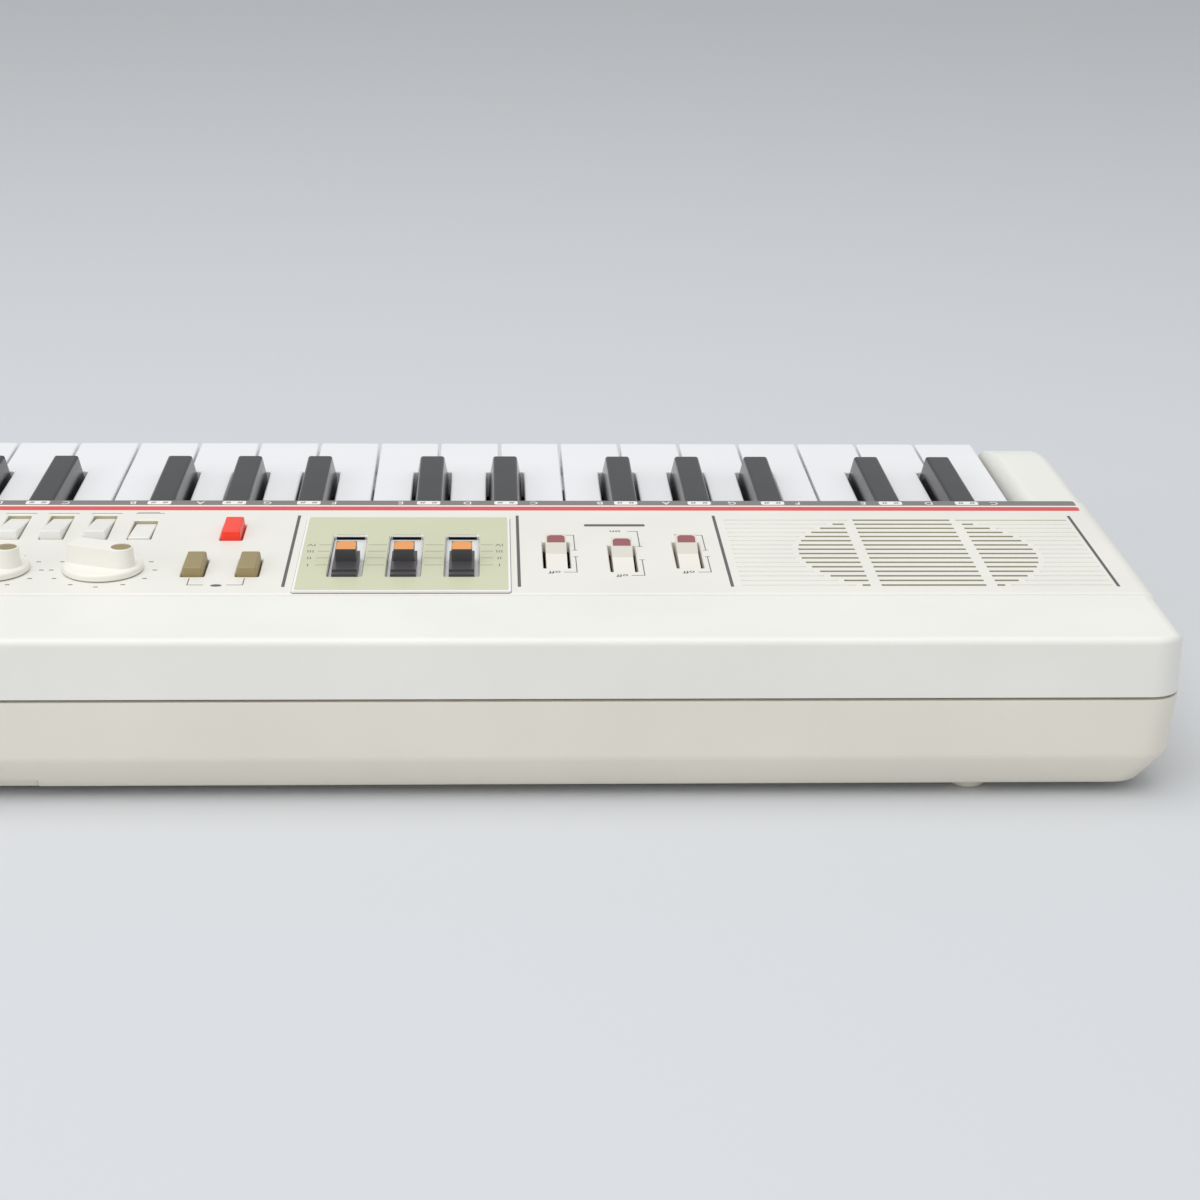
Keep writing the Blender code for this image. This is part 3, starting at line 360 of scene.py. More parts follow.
def pick(kind, test):
    """Select the faces, edges or corners that pass the test, of which there have to be some."""
    bpy.ops.mesh.select_mode(type=kind)
    bpy.ops.mesh.select_all(action="DESELECT")
    mesh = bmesh.from_edit_mesh(bpy.context.object.data)
    if kind == "FACE":
        chosen = [f for f in mesh.faces if test(f.calc_center_median(), f.normal)]
    elif kind == "EDGE":
        chosen = [e for e in mesh.edges if test(e.verts[0].co, e.verts[1].co)]
    else:
        chosen = [v for v in mesh.verts if test(v.co)]
    if not chosen:
        raise ValueError("nothing picked on " + bpy.context.object.name)
    for part in chosen:
        part.select_set(True)
    mesh.select_flush_mode()
    bmesh.update_edit_mesh(bpy.context.object.data)


def move(x=0.0, y=0.0, z=0.0):
    bpy.ops.transform.translate(value=(x, y, z))


def push_out(x=0.0, y=0.0, z=0.0):
    bpy.ops.mesh.extrude_region_move(TRANSFORM_OT_translate={"value": (x, y, z)})


def scale_about(centre, x=1.0, y=1.0, z=1.0):
    bpy.ops.transform.resize(value=(x, y, z), center_override=centre)


def turn_all(angle, axis, centre):
    bpy.ops.mesh.select_all(action="SELECT")
    bpy.ops.transform.rotate(value=angle, orient_axis=axis, center_override=centre)


def slice_at(point, normal):
    bpy.ops.mesh.select_all(action="SELECT")
    bpy.ops.mesh.bisect(plane_co=point, plane_no=normal)


def round_edges(offset, segments, test):
    """Round the edges that pass the test."""
    pick("EDGE", test)
    bpy.ops.mesh.bevel(offset=offset, segments=segments, affect="EDGES")


def dissolve_flat():
    """Merge faces that lie in one plane."""
    bpy.ops.mesh.select_all(action="SELECT")
    bpy.ops.mesh.dissolve_limited(angle_limit=math.radians(1))


def upright(a, b):
    return abs(a.x - b.x) < SLACK and abs(a.y - b.y) < SLACK


def level(z):
    """A test for edges that lie at one height."""
    return lambda a, b: abs(a.z - z) < SLACK and abs(b.z - z) < SLACK


def faces_up(centre, normal):
    return normal.z > 0.9


def modify(piece, kind, **settings):
    """Change a piece by one modifier with these settings."""
    only(piece)
    bpy.ops.object.modifier_add(type=kind)
    modifier = piece.modifiers[-1]
    for name, value in settings.items():
        setattr(modifier, name, value)
    bpy.ops.object.modifier_apply(modifier=modifier.name)


def combine(piece, tool, operation="DIFFERENCE"):
    """Cut a tool out of a piece, join it on, or keep what both fill. The tool is used up."""
    modify(piece, "BOOLEAN", operation=operation, solver="EXACT", object=tool)
    bpy.data.objects.remove(tool, do_unlink=True)


def joined(name, parts):
    """Many loose parts as one piece."""
    only(parts[0])
    for part in parts:
        part.select_set(True)
    if len(parts) > 1:
        bpy.ops.object.join()
    piece = bpy.context.object
    piece.name = name
    piece.data.name = name
    return piece


def soften(piece, width, segments=3, angle=30):
    """Round every edge that turns by more than the angle."""
    modify(piece, "BEVEL", width=width, segments=segments, limit_method="ANGLE",
           angle_limit=math.radians(angle))


def smooth(piece, angle=35):
    """Smooth shading over the roundings, with the large faces kept flat."""
    only(piece)
    bpy.ops.object.shade_smooth_by_angle(angle=math.radians(angle))
    modify(piece, "WEIGHTED_NORMAL", keep_sharp=True)


def finish_edges(piece, width, segments=3, angle=30, shade=35):
    soften(piece, width, segments, angle)
    smooth(piece, shade)


def copy_of(piece, name, x=0.0, y=0.0, z=0.0):
    """A copy with its own mesh, moved to its place."""
    only(piece)
    bpy.ops.object.duplicate()
    bpy.ops.transform.translate(value=(x, y, z))
    return take_name(name)


def fit(piece, body, slot, finish, *nodes):
    """Give a finished piece its material and its body, and hide the frame nodes that it stands for."""
    piece.data.materials.clear()
    piece.data.materials.append(finish)
    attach(piece, body)
    if nodes:
        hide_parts(*nodes)


def middle_x(node):
    low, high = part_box(node)
    return (low[0] + high[0]) / 2


ON_PANEL = ("chassis", "panel_plastic")


# Materials

def tone(red, green, blue):
    """A screen colour from 0 to 255 as the linear colour that the shader wants."""
    def channel(value):
        value /= 255
        return value / 12.92 if value <= 0.04045 else ((value + 0.055) / 1.055) ** 2.4
    return channel(red), channel(green), channel(blue), 1.0


def set_inputs(node, **values):
    """Give a shader node its fixed values. An underscore stands for a space in a name."""
    for name, value in values.items():
        node.inputs[name.replace("_", " ")].default_value = value


def cloud(tree, place, scale, detail):
    """A soft noise pattern that stays with the piece."""
    noise = tree.nodes.new("ShaderNodeTexNoise")
    set_inputs(noise, Scale=scale, Detail=detail)
    tree.links.new(place.outputs["Object"], noise.inputs["Vector"])
    return noise.outputs["Fac"]


def moulding(name, screen, roughness, grain=2200, depth=0.03, drift=0.025, coat=0.0, shine=0.5):
    """Moulded plastic: a fine eroded grain, slow drift in the colour and worn patches in the gloss.

    The grain is in cells per metre and its depth in millimetres.
    """
    material = bpy.data.materials.new(name)
    material.use_nodes = True
    tree = material.node_tree
    shader = tree.nodes["Principled BSDF"]
    set_inputs(shader, Specular_IOR_Level=shine, Coat_Weight=coat, Coat_Roughness=0.15)
    place = tree.nodes.new("ShaderNodeTexCoord")
    colour = tone(*screen)[:3]

    ramp = tree.nodes.new("ShaderNodeValToRGB")
    low, high = ramp.color_ramp.elements
    low.position = 0.3
    high.position = 0.7
    low.color = [c * (1 - drift) for c in colour] + [1.0]
    high.color = [min(c * (1 + drift), 1.0) for c in colour] + [1.0]
    tree.links.new(cloud(tree, place, 22, 3), ramp.inputs["Fac"])
    tree.links.new(ramp.outputs["Color"], shader.inputs["Base Color"])

    gloss = tree.nodes.new("ShaderNodeMapRange")
    set_inputs(gloss, To_Min=max(roughness - 0.06, 0.05), To_Max=roughness + 0.06)
    tree.links.new(cloud(tree, place, 90, 4), gloss.inputs["Value"])
    tree.links.new(gloss.outputs["Result"], shader.inputs["Roughness"])

    bump = tree.nodes.new("ShaderNodeBump")
    set_inputs(bump, Strength=0.35, Distance=depth * MM)
    tree.links.new(cloud(tree, place, grain, 2), bump.inputs["Height"])
    tree.links.new(bump.outputs["Normal"], shader.inputs["Normal"])
    return material


def steel(name):
    """Bright plated metal with fine turning marks."""
    material = moulding(name, (190, 188, 184), 0.3, grain=5000, depth=0.01)
    set_inputs(material.node_tree.nodes["Principled BSDF"], Metallic=1.0)
    return material


case_cream = moulding("case_cream", (240, 239, 232), 0.42, depth=0.035)
base_cream = moulding("base_cream", (236, 231, 218), 0.45, depth=0.04)
panel_cream = moulding("panel_cream", (238, 236, 228), 0.38, depth=0.02)
key_white = moulding("key_white", (248, 248, 250), 0.2, grain=900, depth=0.004, drift=0.01,
                     coat=0.25)
key_black = moulding("key_black", (18, 18, 22), 0.2, grain=1500, depth=0.008, drift=0.12,
                     shine=0.32)
rocker_cream = moulding("rocker_cream", (240, 235, 226), 0.34, depth=0.012)
# The raised front half of each rocker top: a coarser grip grain, and a darker cream that is painted
# shade for that slope
rocker_grip_painted_shade = moulding("rocker_grip_painted_shade", (220, 216, 204), 0.4, grain=1400, depth=0.03)
rhythm_white = moulding("rhythm_white", (242, 241, 236), 0.36, depth=0.012)
button_khaki = moulding("button_khaki", (154, 138, 95), 0.45, grain=1600, depth=0.05, drift=0.08)
button_red = moulding("button_red", (250, 58, 32), 0.38, depth=0.02, drift=0.05)
cap_black = moulding("cap_black", (74, 72, 75), 0.3, depth=0.03, drift=0.12)
knob_cream = moulding("knob_cream", (242, 240, 231), 0.36, depth=0.014)
plate_khaki = moulding("plate_khaki", (211, 213, 180), 0.32, depth=0.01)
bed_white = moulding("bed_white", (235, 235, 232), 0.25, depth=0.01)
# Painted shade for the walls of the grille slots and the rhythm windows
slot_painted_shade = moulding("slot_painted_shade", (196, 189, 162), 0.6, depth=0.02)
ink_dark = moulding("ink_dark", (92, 92, 90), 0.5, drift=0.08)
ink_grey = moulding("ink_grey", (126, 122, 118), 0.45, drift=0.05)
ink_red = moulding("ink_red", (222, 72, 74), 0.42, drift=0.04)
ink_white = moulding("ink_white", (246, 246, 243), 0.42)
ink_maroon = moulding("ink_maroon", (152, 90, 94), 0.48, drift=0.06)
ink_orange = moulding("ink_orange", (240, 160, 84), 0.42, drift=0.05)
frame_grey = moulding("frame_grey", (120, 120, 122), 0.55)
board_green = moulding("board_green", (38, 96, 62), 0.35, grain=500, drift=0.15)
cone_black = moulding("cone_black", (46, 43, 40), 0.8, grain=700, depth=0.1, drift=0.2)
foot_rubber = moulding("foot_rubber", (226, 220, 204), 0.6, depth=0.06)
screw_steel = steel("screw_steel")


# Case

def case_plan(name, low_z, high_z):
    """A block with the case's rounded corners."""
    shell = block(name, (-HALF, FRONT, low_z), (HALF, REAR, high_z))
    with editing(shell):
        round_edges(REAR_CORNER, 8, lambda a, b: upright(a, b) and a.y > 0)
        round_edges(FRONT_CORNER, 6, lambda a, b: upright(a, b) and a.y < 0 and abs(a.x) > HALF - SLACK)
    return shell


def cheek_line():
    """Places along Y with the cheeks' height there."""
    places = [(PANEL_FRONT, CHEEK_REAR_TOP)]
    for step in range(CHEEK_CURVE_STEPS + 1):
        turn = math.pi / 2 * step / CHEEK_CURVE_STEPS
        places.append((FRONT + CHEEK_CURVE_LENGTH * (1 - math.sin(turn)),
                       CHEEK_FRONT_TOP - CHEEK_CURVE_DROP * (1 - math.cos(turn))))
    return places


def shoulder_tool():
    """A cutter that rounds the inner edges of the cheeks down towards the keys."""
    reach = WELL_HALF + CHEEK_SHOULDER
    foot = CHEEK_REAR_TOP - CHEEK_SHOULDER
    tool = block("shoulders", (-reach, FRONT - BEYOND, foot),
                 (reach, PANEL_FRONT - FIT_GAP, DECK + BEYOND))
    for side in (-reach, reach):
        combine(tool, lying_post("shoulder", (side, FRONT / 2, foot), CHEEK_SHOULDER, 3 * REAR,
                                 ALONG_Y, 64))
    return tool


def cheeked_block():
    """The whole case as a block whose top falls along the cheeks."""
    shell = block("upper_shell", (-HALF, FRONT, UPPER_BOTTOM), (HALF, REAR, DECK))
    with editing(shell):
        round_edges(SIDE_EDGE, 8, lambda a, b: level(DECK)(a, b) and abs(a.x - b.x) < SLACK)
        slice_at((0, PANEL_FRONT + CHEEK_BLEND, 0), (0, 1, 0))
        for y, top in cheek_line():
            if y > FRONT + SLACK:
                slice_at((0, y, 0), (0, 1, 0))
        for y, top in cheek_line():
            pick("VERT", lambda p: abs(p.y - y) < SLACK)
            scale_about((0, y, UPPER_BOTTOM), z=(top - UPPER_BOTTOM) / (DECK - UPPER_BOTTOM))
    return shell


def upper_shell():
    """Deck, walls and cheeks, open below, with the key well and the panel's seat."""
    shell = cheeked_block()
    plan = case_plan("plan", 0.0, DECK)
    with editing(plan):
        round_edges(REAR_EDGE, 5, lambda a, b: level(DECK)(a, b) and min(a.y, b.y) > 0
                    and max(a.y, b.y) > REAR - REAR_CORNER - SLACK)
    combine(shell, plan, "INTERSECT")
    far = HALF + BEYOND
    above = DECK + BEYOND
    groove = PANEL_REAR + PANEL_GAP
    combine(shell, block("panel seat", (-far, PANEL_FRONT - FIT_GAP, PANEL_BOTTOM - FIT_GAP),
                         (far, groove, above)))
    combine(shell, block("key well", (-WELL_HALF, FRONT - BEYOND, 0.0),
                         (WELL_HALF, PANEL_FRONT + WALL, above)))
    combine(shell, shoulder_tool())
    combine(shell, block("hollow", (WALL - HALF, PANEL_FRONT, 0.0),
                         (HALF - WALL, REAR - WALL, DECK - WALL)))
    with editing(shell):
        round_edges(GROOVE_EDGE, 4, lambda a, b: level(DECK)(a, b)
                    and abs(a.y - groove) < SLACK and abs(b.y - groove) < SLACK)
    smooth(shell)
    fit(shell, "chassis", "upper_case_plastic", case_cream, "upper_case")


def draw_in(inset):
    """Move what is selected in from all sides of the case by an even inset."""
    middle = (FRONT + REAR) / 2
    scale_about((0, middle, 0), 1 - inset / HALF, 1 - inset / (REAR - middle))


def lower_shell():
    """The tray: a slight draft to the belly, a sloped belly and a flat underside."""
    shell = case_plan("lower_shell", BELLY_BOTTOM, PARTING)
    slope = BELLY_INSET - SIDE_DRAFT
    with editing(shell):
        slice_at((0, 0, BELLY_TOP), (0, 0, 1))
        pick("VERT", lambda p: p.z < BELLY_TOP + SLACK)
        draw_in(SIDE_DRAFT)
        pick("VERT", lambda p: p.z < BELLY_BOTTOM + SLACK)
        draw_in(slope)
        pick("FACE", lambda c, n: n.z > 0.9 and c.z > PARTING - SLACK)
        bpy.ops.mesh.inset(thickness=WALL)
        push_out(z=BELLY_TOP + INNER_BEND - PARTING)
        draw_in(SIDE_DRAFT)
        push_out(z=FLOOR_TOP - BELLY_TOP - INNER_BEND)
        draw_in(slope - INNER_BEND)
        round_edges(BELLY_EDGE, 4, lambda a, b: level(BELLY_TOP)(a, b) or level(BELLY_BOTTOM)(a, b))
        round_edges(PARTING_EDGE, 2, level(PARTING))
    combine(shell, block("room for key lips", (-WELL_HALF, FRONT - BEYOND, KEY_FRONT_ROOM),
                         (WELL_HALF, FRONT + 2 * WALL, PARTING + BEYOND)))
    return shell


def battery_bay(shell):
    """The box for the batteries, open below, with the recess that its door lies in."""
    low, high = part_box("battery_cover")
    recess_top = high[2] + FIT_GAP
    rim = FIT_GAP + BAY_WALL
    combine(shell, block("rim", (low[0] - rim, low[1] - rim, JOIN_LEVEL),
                         (high[0] + rim, DOOR_RIM_REAR, recess_top + BAY_WALL)), "UNION")
    combine(shell, block("bay walls", (BAY_LOW[0] - BAY_WALL, BAY_LOW[1] - BAY_WALL, JOIN_LEVEL),
                         (BAY_HIGH[0] + BAY_WALL, BAY_HIGH[1] + BAY_WALL, BAY_TOP + BAY_ROOF)),
            "UNION")
    combine(shell, block("bay", (*BAY_LOW, -BEYOND), (*BAY_HIGH, BAY_TOP)))
    combine(shell, block("door recess", (low[0] - FIT_GAP, low[1] - FIT_GAP, -BEYOND),
                         (high[0] + FIT_GAP, REAR + BEYOND, recess_top)))


def sockets(shell):
    """Round openings in the rear wall, each with a bright metal bush behind it."""
    bushes = []
    for x in SOCKET_X:
        centre = (x, REAR, SOCKET_Z)
        combine(shell, lying_post("socket hole", centre, SOCKET_RADIUS, 4 * WALL, ALONG_Y, 40))
        bush = lying_post("bush", (x, REAR - BUSH_DEPTH, SOCKET_Z), BUSH_RADIUS, BUSH_LENGTH,
                          ALONG_Y)
        combine(bush, lying_post("bore", centre, BUSH_BORE, 4 * BEYOND, ALONG_Y, 32))
        finish_edges(bush, 0.35 * MM)
        bushes.append(bush)
    fit(joined("socket_bushes", bushes), "chassis", "board_laminate", screw_steel)


def case_screws(shell):
    """Six cross-headed screws, each at the bottom of its recess."""
    screws = []
    reach, half, cross_top = SCREW_CROSS
    for x, y in product(SCREW_X, SCREW_Y):
        combine(shell, post("screw recess", x, y, *SCREW_RECESS, 32))
        screw = post("screw", x, y, *SCREW, 32)
        for u, v in ((reach, half), (half, reach)):
            combine(screw, block("cross", (x - u, y - v, 0), (x + u, y + v, cross_top)))
        finish_edges(screw, 0.2 * MM, 2)
        screws.append(screw)
    fit(joined("case_screws", screws), "chassis", "lower_case_plastic", screw_steel)


def rubber_feet():
    """Four round feet with a rounded rim and a shallow dimple."""
    feet = []
    for x, y in product(FOOT_X, FOOT_Y):
        foot = post("foot", x, y, *FOOT, 40)
        with editing(foot):
            round_edges(FOOT_EDGE, 5, level(0.0))
            pick("FACE", lambda c, n: n.z < -0.99 and c.z < SLACK)
            bpy.ops.mesh.inset(thickness=FOOT_EDGE)
            push_out(z=FOOT_DIMPLE)
        smooth(foot)
        feet.append(foot)
    fit(joined("feet", feet), "chassis", "lower_case_plastic", foot_rubber)


def battery_door():
    """The sliding door: a plate with a sloped rear edge and a ribbed grip."""
    low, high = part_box("battery_cover")
    middle = middle_x("battery_cover")
    half, width, depth = DOOR_RIB
    door = block("battery_door", low, high)
    with editing(door):
        pick("VERT", lambda p: p.y > high[1] - SLACK and p.z < low[2] + SLACK)
        move(y=-DOOR_SLOPE * (high[2] - low[2]))
    ribs = []
    for row in range(DOOR_RIB_COUNT):
        y = high[1] - DOOR_GRIP + row * DOOR_RIB_PITCH
        ribs.append(block("rib", (middle - half, y, low[2] - BEYOND),
                          (middle + half, y + width, low[2] + depth)))
    combine(door, joined("ribs", ribs))
    finish_edges(door, 0.3 * MM, 2)
    fit(door, "battery_cover", "lower_case_plastic", base_cream, "battery_cover")


# Control panel

def opening(x, y, width, length, top):
    """A cutter for a window with rounded corners and a small chamfer round its top."""
    hole = block("opening", (x - width / 2, y - length / 2, UNDER_PANEL),
                 (x + width / 2, y + length / 2, top - WINDOW_CHAMFER))
    with editing(hole):
        round_edges(WINDOW_CORNER, 3, upright)
        pick("FACE", faces_up)
        push_out(z=WINDOW_CHAMFER)
        scale_about((x, y, top), 1 + WINDOW_FLARE / width, 1 + WINDOW_FLARE / length)
        push_out(z=BEYOND)
    return hole


def box_window(node):
    """A window that leaves a small gap round what moves in it."""
    low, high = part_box(node)
    width = high[0] - low[0] + 2 * BUTTON_GAP
    length = high[1] - low[1] + 2 * BUTTON_GAP
    return opening(middle_x(node), (low[1] + high[1]) / 2, width, length, PANEL_TOP)


def slider_windows(top):
    width, front, rear = SLIDER_WINDOW
    return [opening(x, (front + rear) / 2, width, rear - front, top) for x in SLIDER_X]


def slot_reach(y):
    """Half the width of the round grille at one row."""
    return math.sqrt(max(GRILLE_RADIUS ** 2 - (y - GRILLE_CENTRE[1]) ** 2, 0.0))


def grille_tools():
    """Cutters for the slots in three banks, and for the shallow ribs that run on beside them."""
    x = GRILLE_CENTRE[0]
    above = DECK + BEYOND
    slots, ribs = [], []
    for row in range(SLOT_COUNT):
        y = SLOT_FIRST + row * SLOT_PITCH
        reach = slot_reach(y)
        start = GRILLE_BANK + GRILLE_BAR
        spans = [(x - GRILLE_BANK, x + GRILLE_BANK)]
        if reach - start > SHORTEST_SLOT:
            spans += [(x + start, x + reach), (x - reach, x - start)]
        for left, right in spans:
            slots.append(block("slot", (left, y - SLOT_WIDTH / 2, UNDER_PANEL),
                               (right, y + SLOT_WIDTH / 2, above)))
        clear = max(reach if len(spans) > 1 else GRILLE_BANK, GRILLE_BANK) + RIB_FROM_SLOT
        for left, right in ((RIB_ENDS[0], x - clear), (x + clear, RIB_ENDS[1])):
            ribs.append(block("rib", (left, y - RIB_WIDTH / 2, PANEL_TOP - RIB_DEPTH),
                              (right, y + RIB_WIDTH / 2, above)))
    return joined("slots", slots), joined("rib lines", ribs)


def panel_blank():
    """The uncut panel, with rounded sides that match the case."""
    face = block("panel_face", (-HALF, PANEL_FRONT, PANEL_BOTTOM), (HALF, PANEL_REAR, PANEL_TOP))
    curve_foot = PANEL_TOP - PANEL_SIDE - SLACK
    with editing(face):
        round_edges(PANEL_SIDE, 8, lambda a, b: level(PANEL_TOP)(a, b) and abs(a.x - b.x) < SLACK)
        for side in (-HALF, HALF):
            pick("VERT", lambda p: abs(p.x - side) < PANEL_SIDE + SLACK)
            scale_about((side, 0, 0), x=SIDE_EDGE / PANEL_SIDE)
        round_edges(PANEL_EDGE, 3, lambda a, b: max(a.y, b.y) < PANEL_FRONT + SLACK
                    and min(a.z, b.z) > curve_foot)
        round_edges(GROOVE_EDGE, 4, lambda a, b: min(a.y, b.y) > PANEL_REAR - SLACK
                    and min(a.z, b.z) > curve_foot)
    return face


def panel_windows():
    """One cutter for all the windows and shaft holes of the panel."""
    windows = slider_windows(PANEL_TOP + BEYOND)
    windows += [box_window(node) for node in ("start_button", "synchro_button", "fill_in_button")]
    windows += [box_window(f"rhythm_button_{number}") for number in (1, 2, 3, 4)]
    for x, y in ROCKER_PLACES:
        windows.append(opening(x, y, ROCKER_WIDTH + 2 * ROCKER_SIDE_GAP,
                               2 * (ROCKER_RADIUS + BUTTON_GAP), PANEL_TOP))
    for x in KNOBS.values():
        windows.append(post("shaft hole", x, KNOB_Y, SHAFT_HOLE, UNDER_PANEL, DECK + BEYOND, 32))
    return joined("windows", windows)


def paint_wall_shade(face):
    """Painted shade: a darker brown on the walls of the grille slots and the rhythm windows, which lie
    in shade.
    """
    face.data.materials.append(slot_painted_shade)
    grille_rear = SLOT_FIRST + SLOT_COUNT * SLOT_PITCH
    rhythm_left = middle_x("rhythm_button_1") - RHYTHM_HALF_WINDOW
    rhythm_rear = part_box("rhythm_button_1")[1][1]
    for wall in face.data.polygons:
        x, y, z = wall.center
        is_wall = z < PANEL_TOP - SLACK and abs(wall.normal.z) < 0.5
        in_grille = abs(x - GRILLE_CENTRE[0]) < GRILLE_RADIUS and 0 < y < grille_rear
        in_rhythm = x > rhythm_left and y < rhythm_rear and z > PANEL_BOTTOM
        if is_wall and (in_grille or in_rhythm):
            wall.material_index = 1


def panel_face():
    face = panel_blank()
    slots, ribs = grille_tools()
    combine(face, ribs)
    combine(face, slots)
    combine(face, panel_windows())
    smooth(face)
    fit(face, *ON_PANEL, panel_cream, "control_panel")
    # Painted shade on the walls of the grille slots and the rhythm windows
    paint_wall_shade(face)


def plate_slab(name, grow, low_z, high_z):
    """A slab with the variation plate's outline, grown or shrunk."""
    slab = block(name, (PLATE_LOW[0] - grow, PLATE_LOW[1] - grow, low_z),
                 (PLATE_HIGH[0] + grow, PLATE_HIGH[1] + grow, high_z))
    with editing(slab):
        round_edges(PLATE_CORNER, 4, upright)
    return slab


def variation_plate():
    """The raised plate round the sliders: dark line at its foot, white edges, khaki print."""
    line = plate_slab("plate_outline", PLATE_OUTLINE, PANEL_TOP - PRINT_DEPTH, PANEL_TOP + PRINT_RISE)
    plate = plate_slab("variation_plate", 0.0, PANEL_TOP - MM, PLATE_TOP - PRINT_RISE)
    cover = plate_slab("plate_print", -PLATE_BORDER, PLATE_TOP - PRINT_DEPTH, PLATE_TOP)
    for piece, finish, top in ((line, ink_grey, DECK), (plate, ink_white, PLATE_TOP),
                               (cover, plate_khaki, PLATE_TOP)):
        combine(piece, joined("windows", slider_windows(top)))
        if piece is plate:
            soften(piece, PLATE_EDGE, 2, 60)
        smooth(piece)
        fit(piece, *ON_PANEL, finish, "control_panel")


def slider_bed():
    """The white floor of the slider windows, slotted for the stems."""
    width, front, rear = SLIDER_WINDOW
    slot_width, slot_front, slot_rear = STEM_SLOT
    slot_middle = (slot_front + slot_rear) / 2
    beds = []
    for x in SLIDER_X:
        bed = block("bed", (x - width / 2, front, PANEL_BOTTOM - MM),
                    (x + width / 2, rear, SLIDER_BED_TOP))
        combine(bed, opening(x, slot_middle, slot_width, slot_rear - slot_front, SLIDER_BED_TOP))
        smooth(bed)
        beds.append(bed)
    fit(joined("slider_beds", beds), *ON_PANEL, bed_white)


# Print on the panel

def mark(x0, x1, y0, y1, top=PANEL_TOP):
    """A printed bar, a hair proud of the panel, with slightly rounded ends."""
    bar = block("mark", (min(x0, x1), min(y0, y1), top - PRINT_DEPTH),
                (max(x0, x1), max(y0, y1), top + PRINT_RISE))
    with editing(bar):
        round_edges(min(abs(x1 - x0), abs(y1 - y0)) * 0.2, 2, upright)
    return bar


def ink_line(x0, y0, x1, y1, top=PANEL_TOP, width=INK_WIDTH):
    """A thin printed line along X or along Y."""
    half = width / 2
    return mark(min(x0, x1) - half, max(x0, x1) + half, min(y0, y1) - half, max(y0, y1) + half, top)


def lettering(text, x, y, size, top=PANEL_TOP):
    """Small printed text that reads from the player's side."""
    only(None)
    bpy.ops.object.text_add(location=(0, 0, 0))
    words = bpy.context.object
    words.data.body = text
    words.data.size = size
    words.data.align_x = "CENTER"
    words.data.align_y = "CENTER"
    words.data.resolution_u = 3
    words.data.extrude = (PRINT_DEPTH + PRINT_RISE) / 2
    bpy.ops.object.convert(target="MESH")
    bpy.context.object.location = (x, y, top + (PRINT_RISE - PRINT_DEPTH) / 2)
    return take_name("lettering")


def panel_stripes():
    """The grey, white and red stripes along the front of the panel."""
    for (name, (front, rear)), finish in zip(STRIPES.items(), (ink_grey, ink_white, ink_red)):
        stripe = joined(name, [mark(-STRIPE_END, STRIPE_END, front, rear)])
        smooth(stripe)
        fit(stripe, *ON_PANEL, finish)


def note_names():
    """Letters over the white keys, and boxes with two sharp signs over the black."""
    top = PANEL_TOP + PRINT_RISE
    half_width, half_length = SHARP_BOX
    white, dark = [], []
    for node in sorted(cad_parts):
        if node.startswith("white_key"):
            letter = node.split("_")[2][0].upper()
            white.append(lettering(letter, middle_x(node), NOTE_ROW, NOTE_SIZE, top))
        elif node.startswith("black_key"):
            x = middle_x(node)
            white.append(mark(x - half_width, x + half_width, NOTE_ROW - half_length,
                              NOTE_ROW + half_length, top))
            for side in (-SHARP_SIDE, SHARP_SIDE):
                dark.append(lettering("#", x + side, NOTE_ROW, SHARP_SIZE, top + PRINT_RISE))
    fit(joined("note_names", white), *ON_PANEL, ink_white)
    fit(joined("sharp_signs", dark), *ON_PANEL, ink_grey)


def bracket(x, front, rear, front_bar, rear_bar):
    """Two thin brackets beside a rocker, one for each of its ends."""
    side = x - BRACKET_SIDE
    parts = [ink_line(side, front, side, front_bar), ink_line(side, rear_bar, side, rear)]
    for y in (front_bar, rear_bar):
        parts.append(ink_line(side - BRACKET_BAR, y, side + BRACKET_BAR, y))
    for y, arm in zip((front, rear), BRACKET_ARMS):
        parts.append(ink_line(side, y, x - arm, y))
    return parts


def rocker_marks():
    """The brackets beside the rockers, with off behind each one and on in front."""
    parts = []
    for x, y in ROCKER_PLACES:
        ends = MIDDLE_BRACKET_ENDS if y > ROCKER_PLACES[0][1] else BRACKET_ENDS
        front, rear = ends[:2]
        parts += bracket(x, *ends)
        parts.append(lettering("off", x + OFF_SHIFT, rear, SWITCH_WORD_SIZE))
        parts.append(lettering("on", x + ON_SHIFT, front, SWITCH_WORD_SIZE))
    return parts


def knob_ticks():
    """Short dashes round each knob."""
    parts = []
    for x in KNOBS.values():
        for degrees in TICK_DEGREES:
            turn = math.radians(degrees)
            u = x + TICK_RADIUS * math.cos(turn)
            v = KNOB_Y + TICK_RADIUS * math.sin(turn)
            parts.append(ink_line(u - TICK_HALF, v, u + TICK_HALF, v, width=TICK_WIDTH))
    return parts


def start_marks():
    """The bracket that joins the two khaki buttons, with a small lens in its gap."""
    left, right, low, high, arm = START_BRACKET
    lines = [ink_line(left, low, left, high), ink_line(right, low, right, high),
             ink_line(left, high, left + arm, high), ink_line(right - arm, high, right, high)]
    lens = post("lens", *LENS_PLACE, LENS_RADIUS, PANEL_TOP - PRINT_DEPTH, PANEL_TOP + PRINT_RISE, 24)
    with editing(lens):
        bpy.ops.mesh.select_all(action="SELECT")
        scale_about((*LENS_PLACE, PANEL_TOP), 1.0, LENS_FLAT)
    return lines + [lens]


def panel_marks():
    """Everything in dark ink: dividers, brackets, ticks, and lines where headings go."""
    dividers = [mark(x - DIVIDER_HALF, x + DIVIDER_HALF, *DIVIDER_ENDS) for x in DIVIDER_X]
    fit(joined("dividers", dividers), *ON_PANEL, ink_dark)
    parts = rocker_marks() + knob_ticks() + [mark(*HEADING_BAR)] + start_marks()
    parts += [ink_line(left, y, right, y) for left, right, y in HEADING_LINES]
    fit(joined("panel_marks", parts), *ON_PANEL, ink_dark)


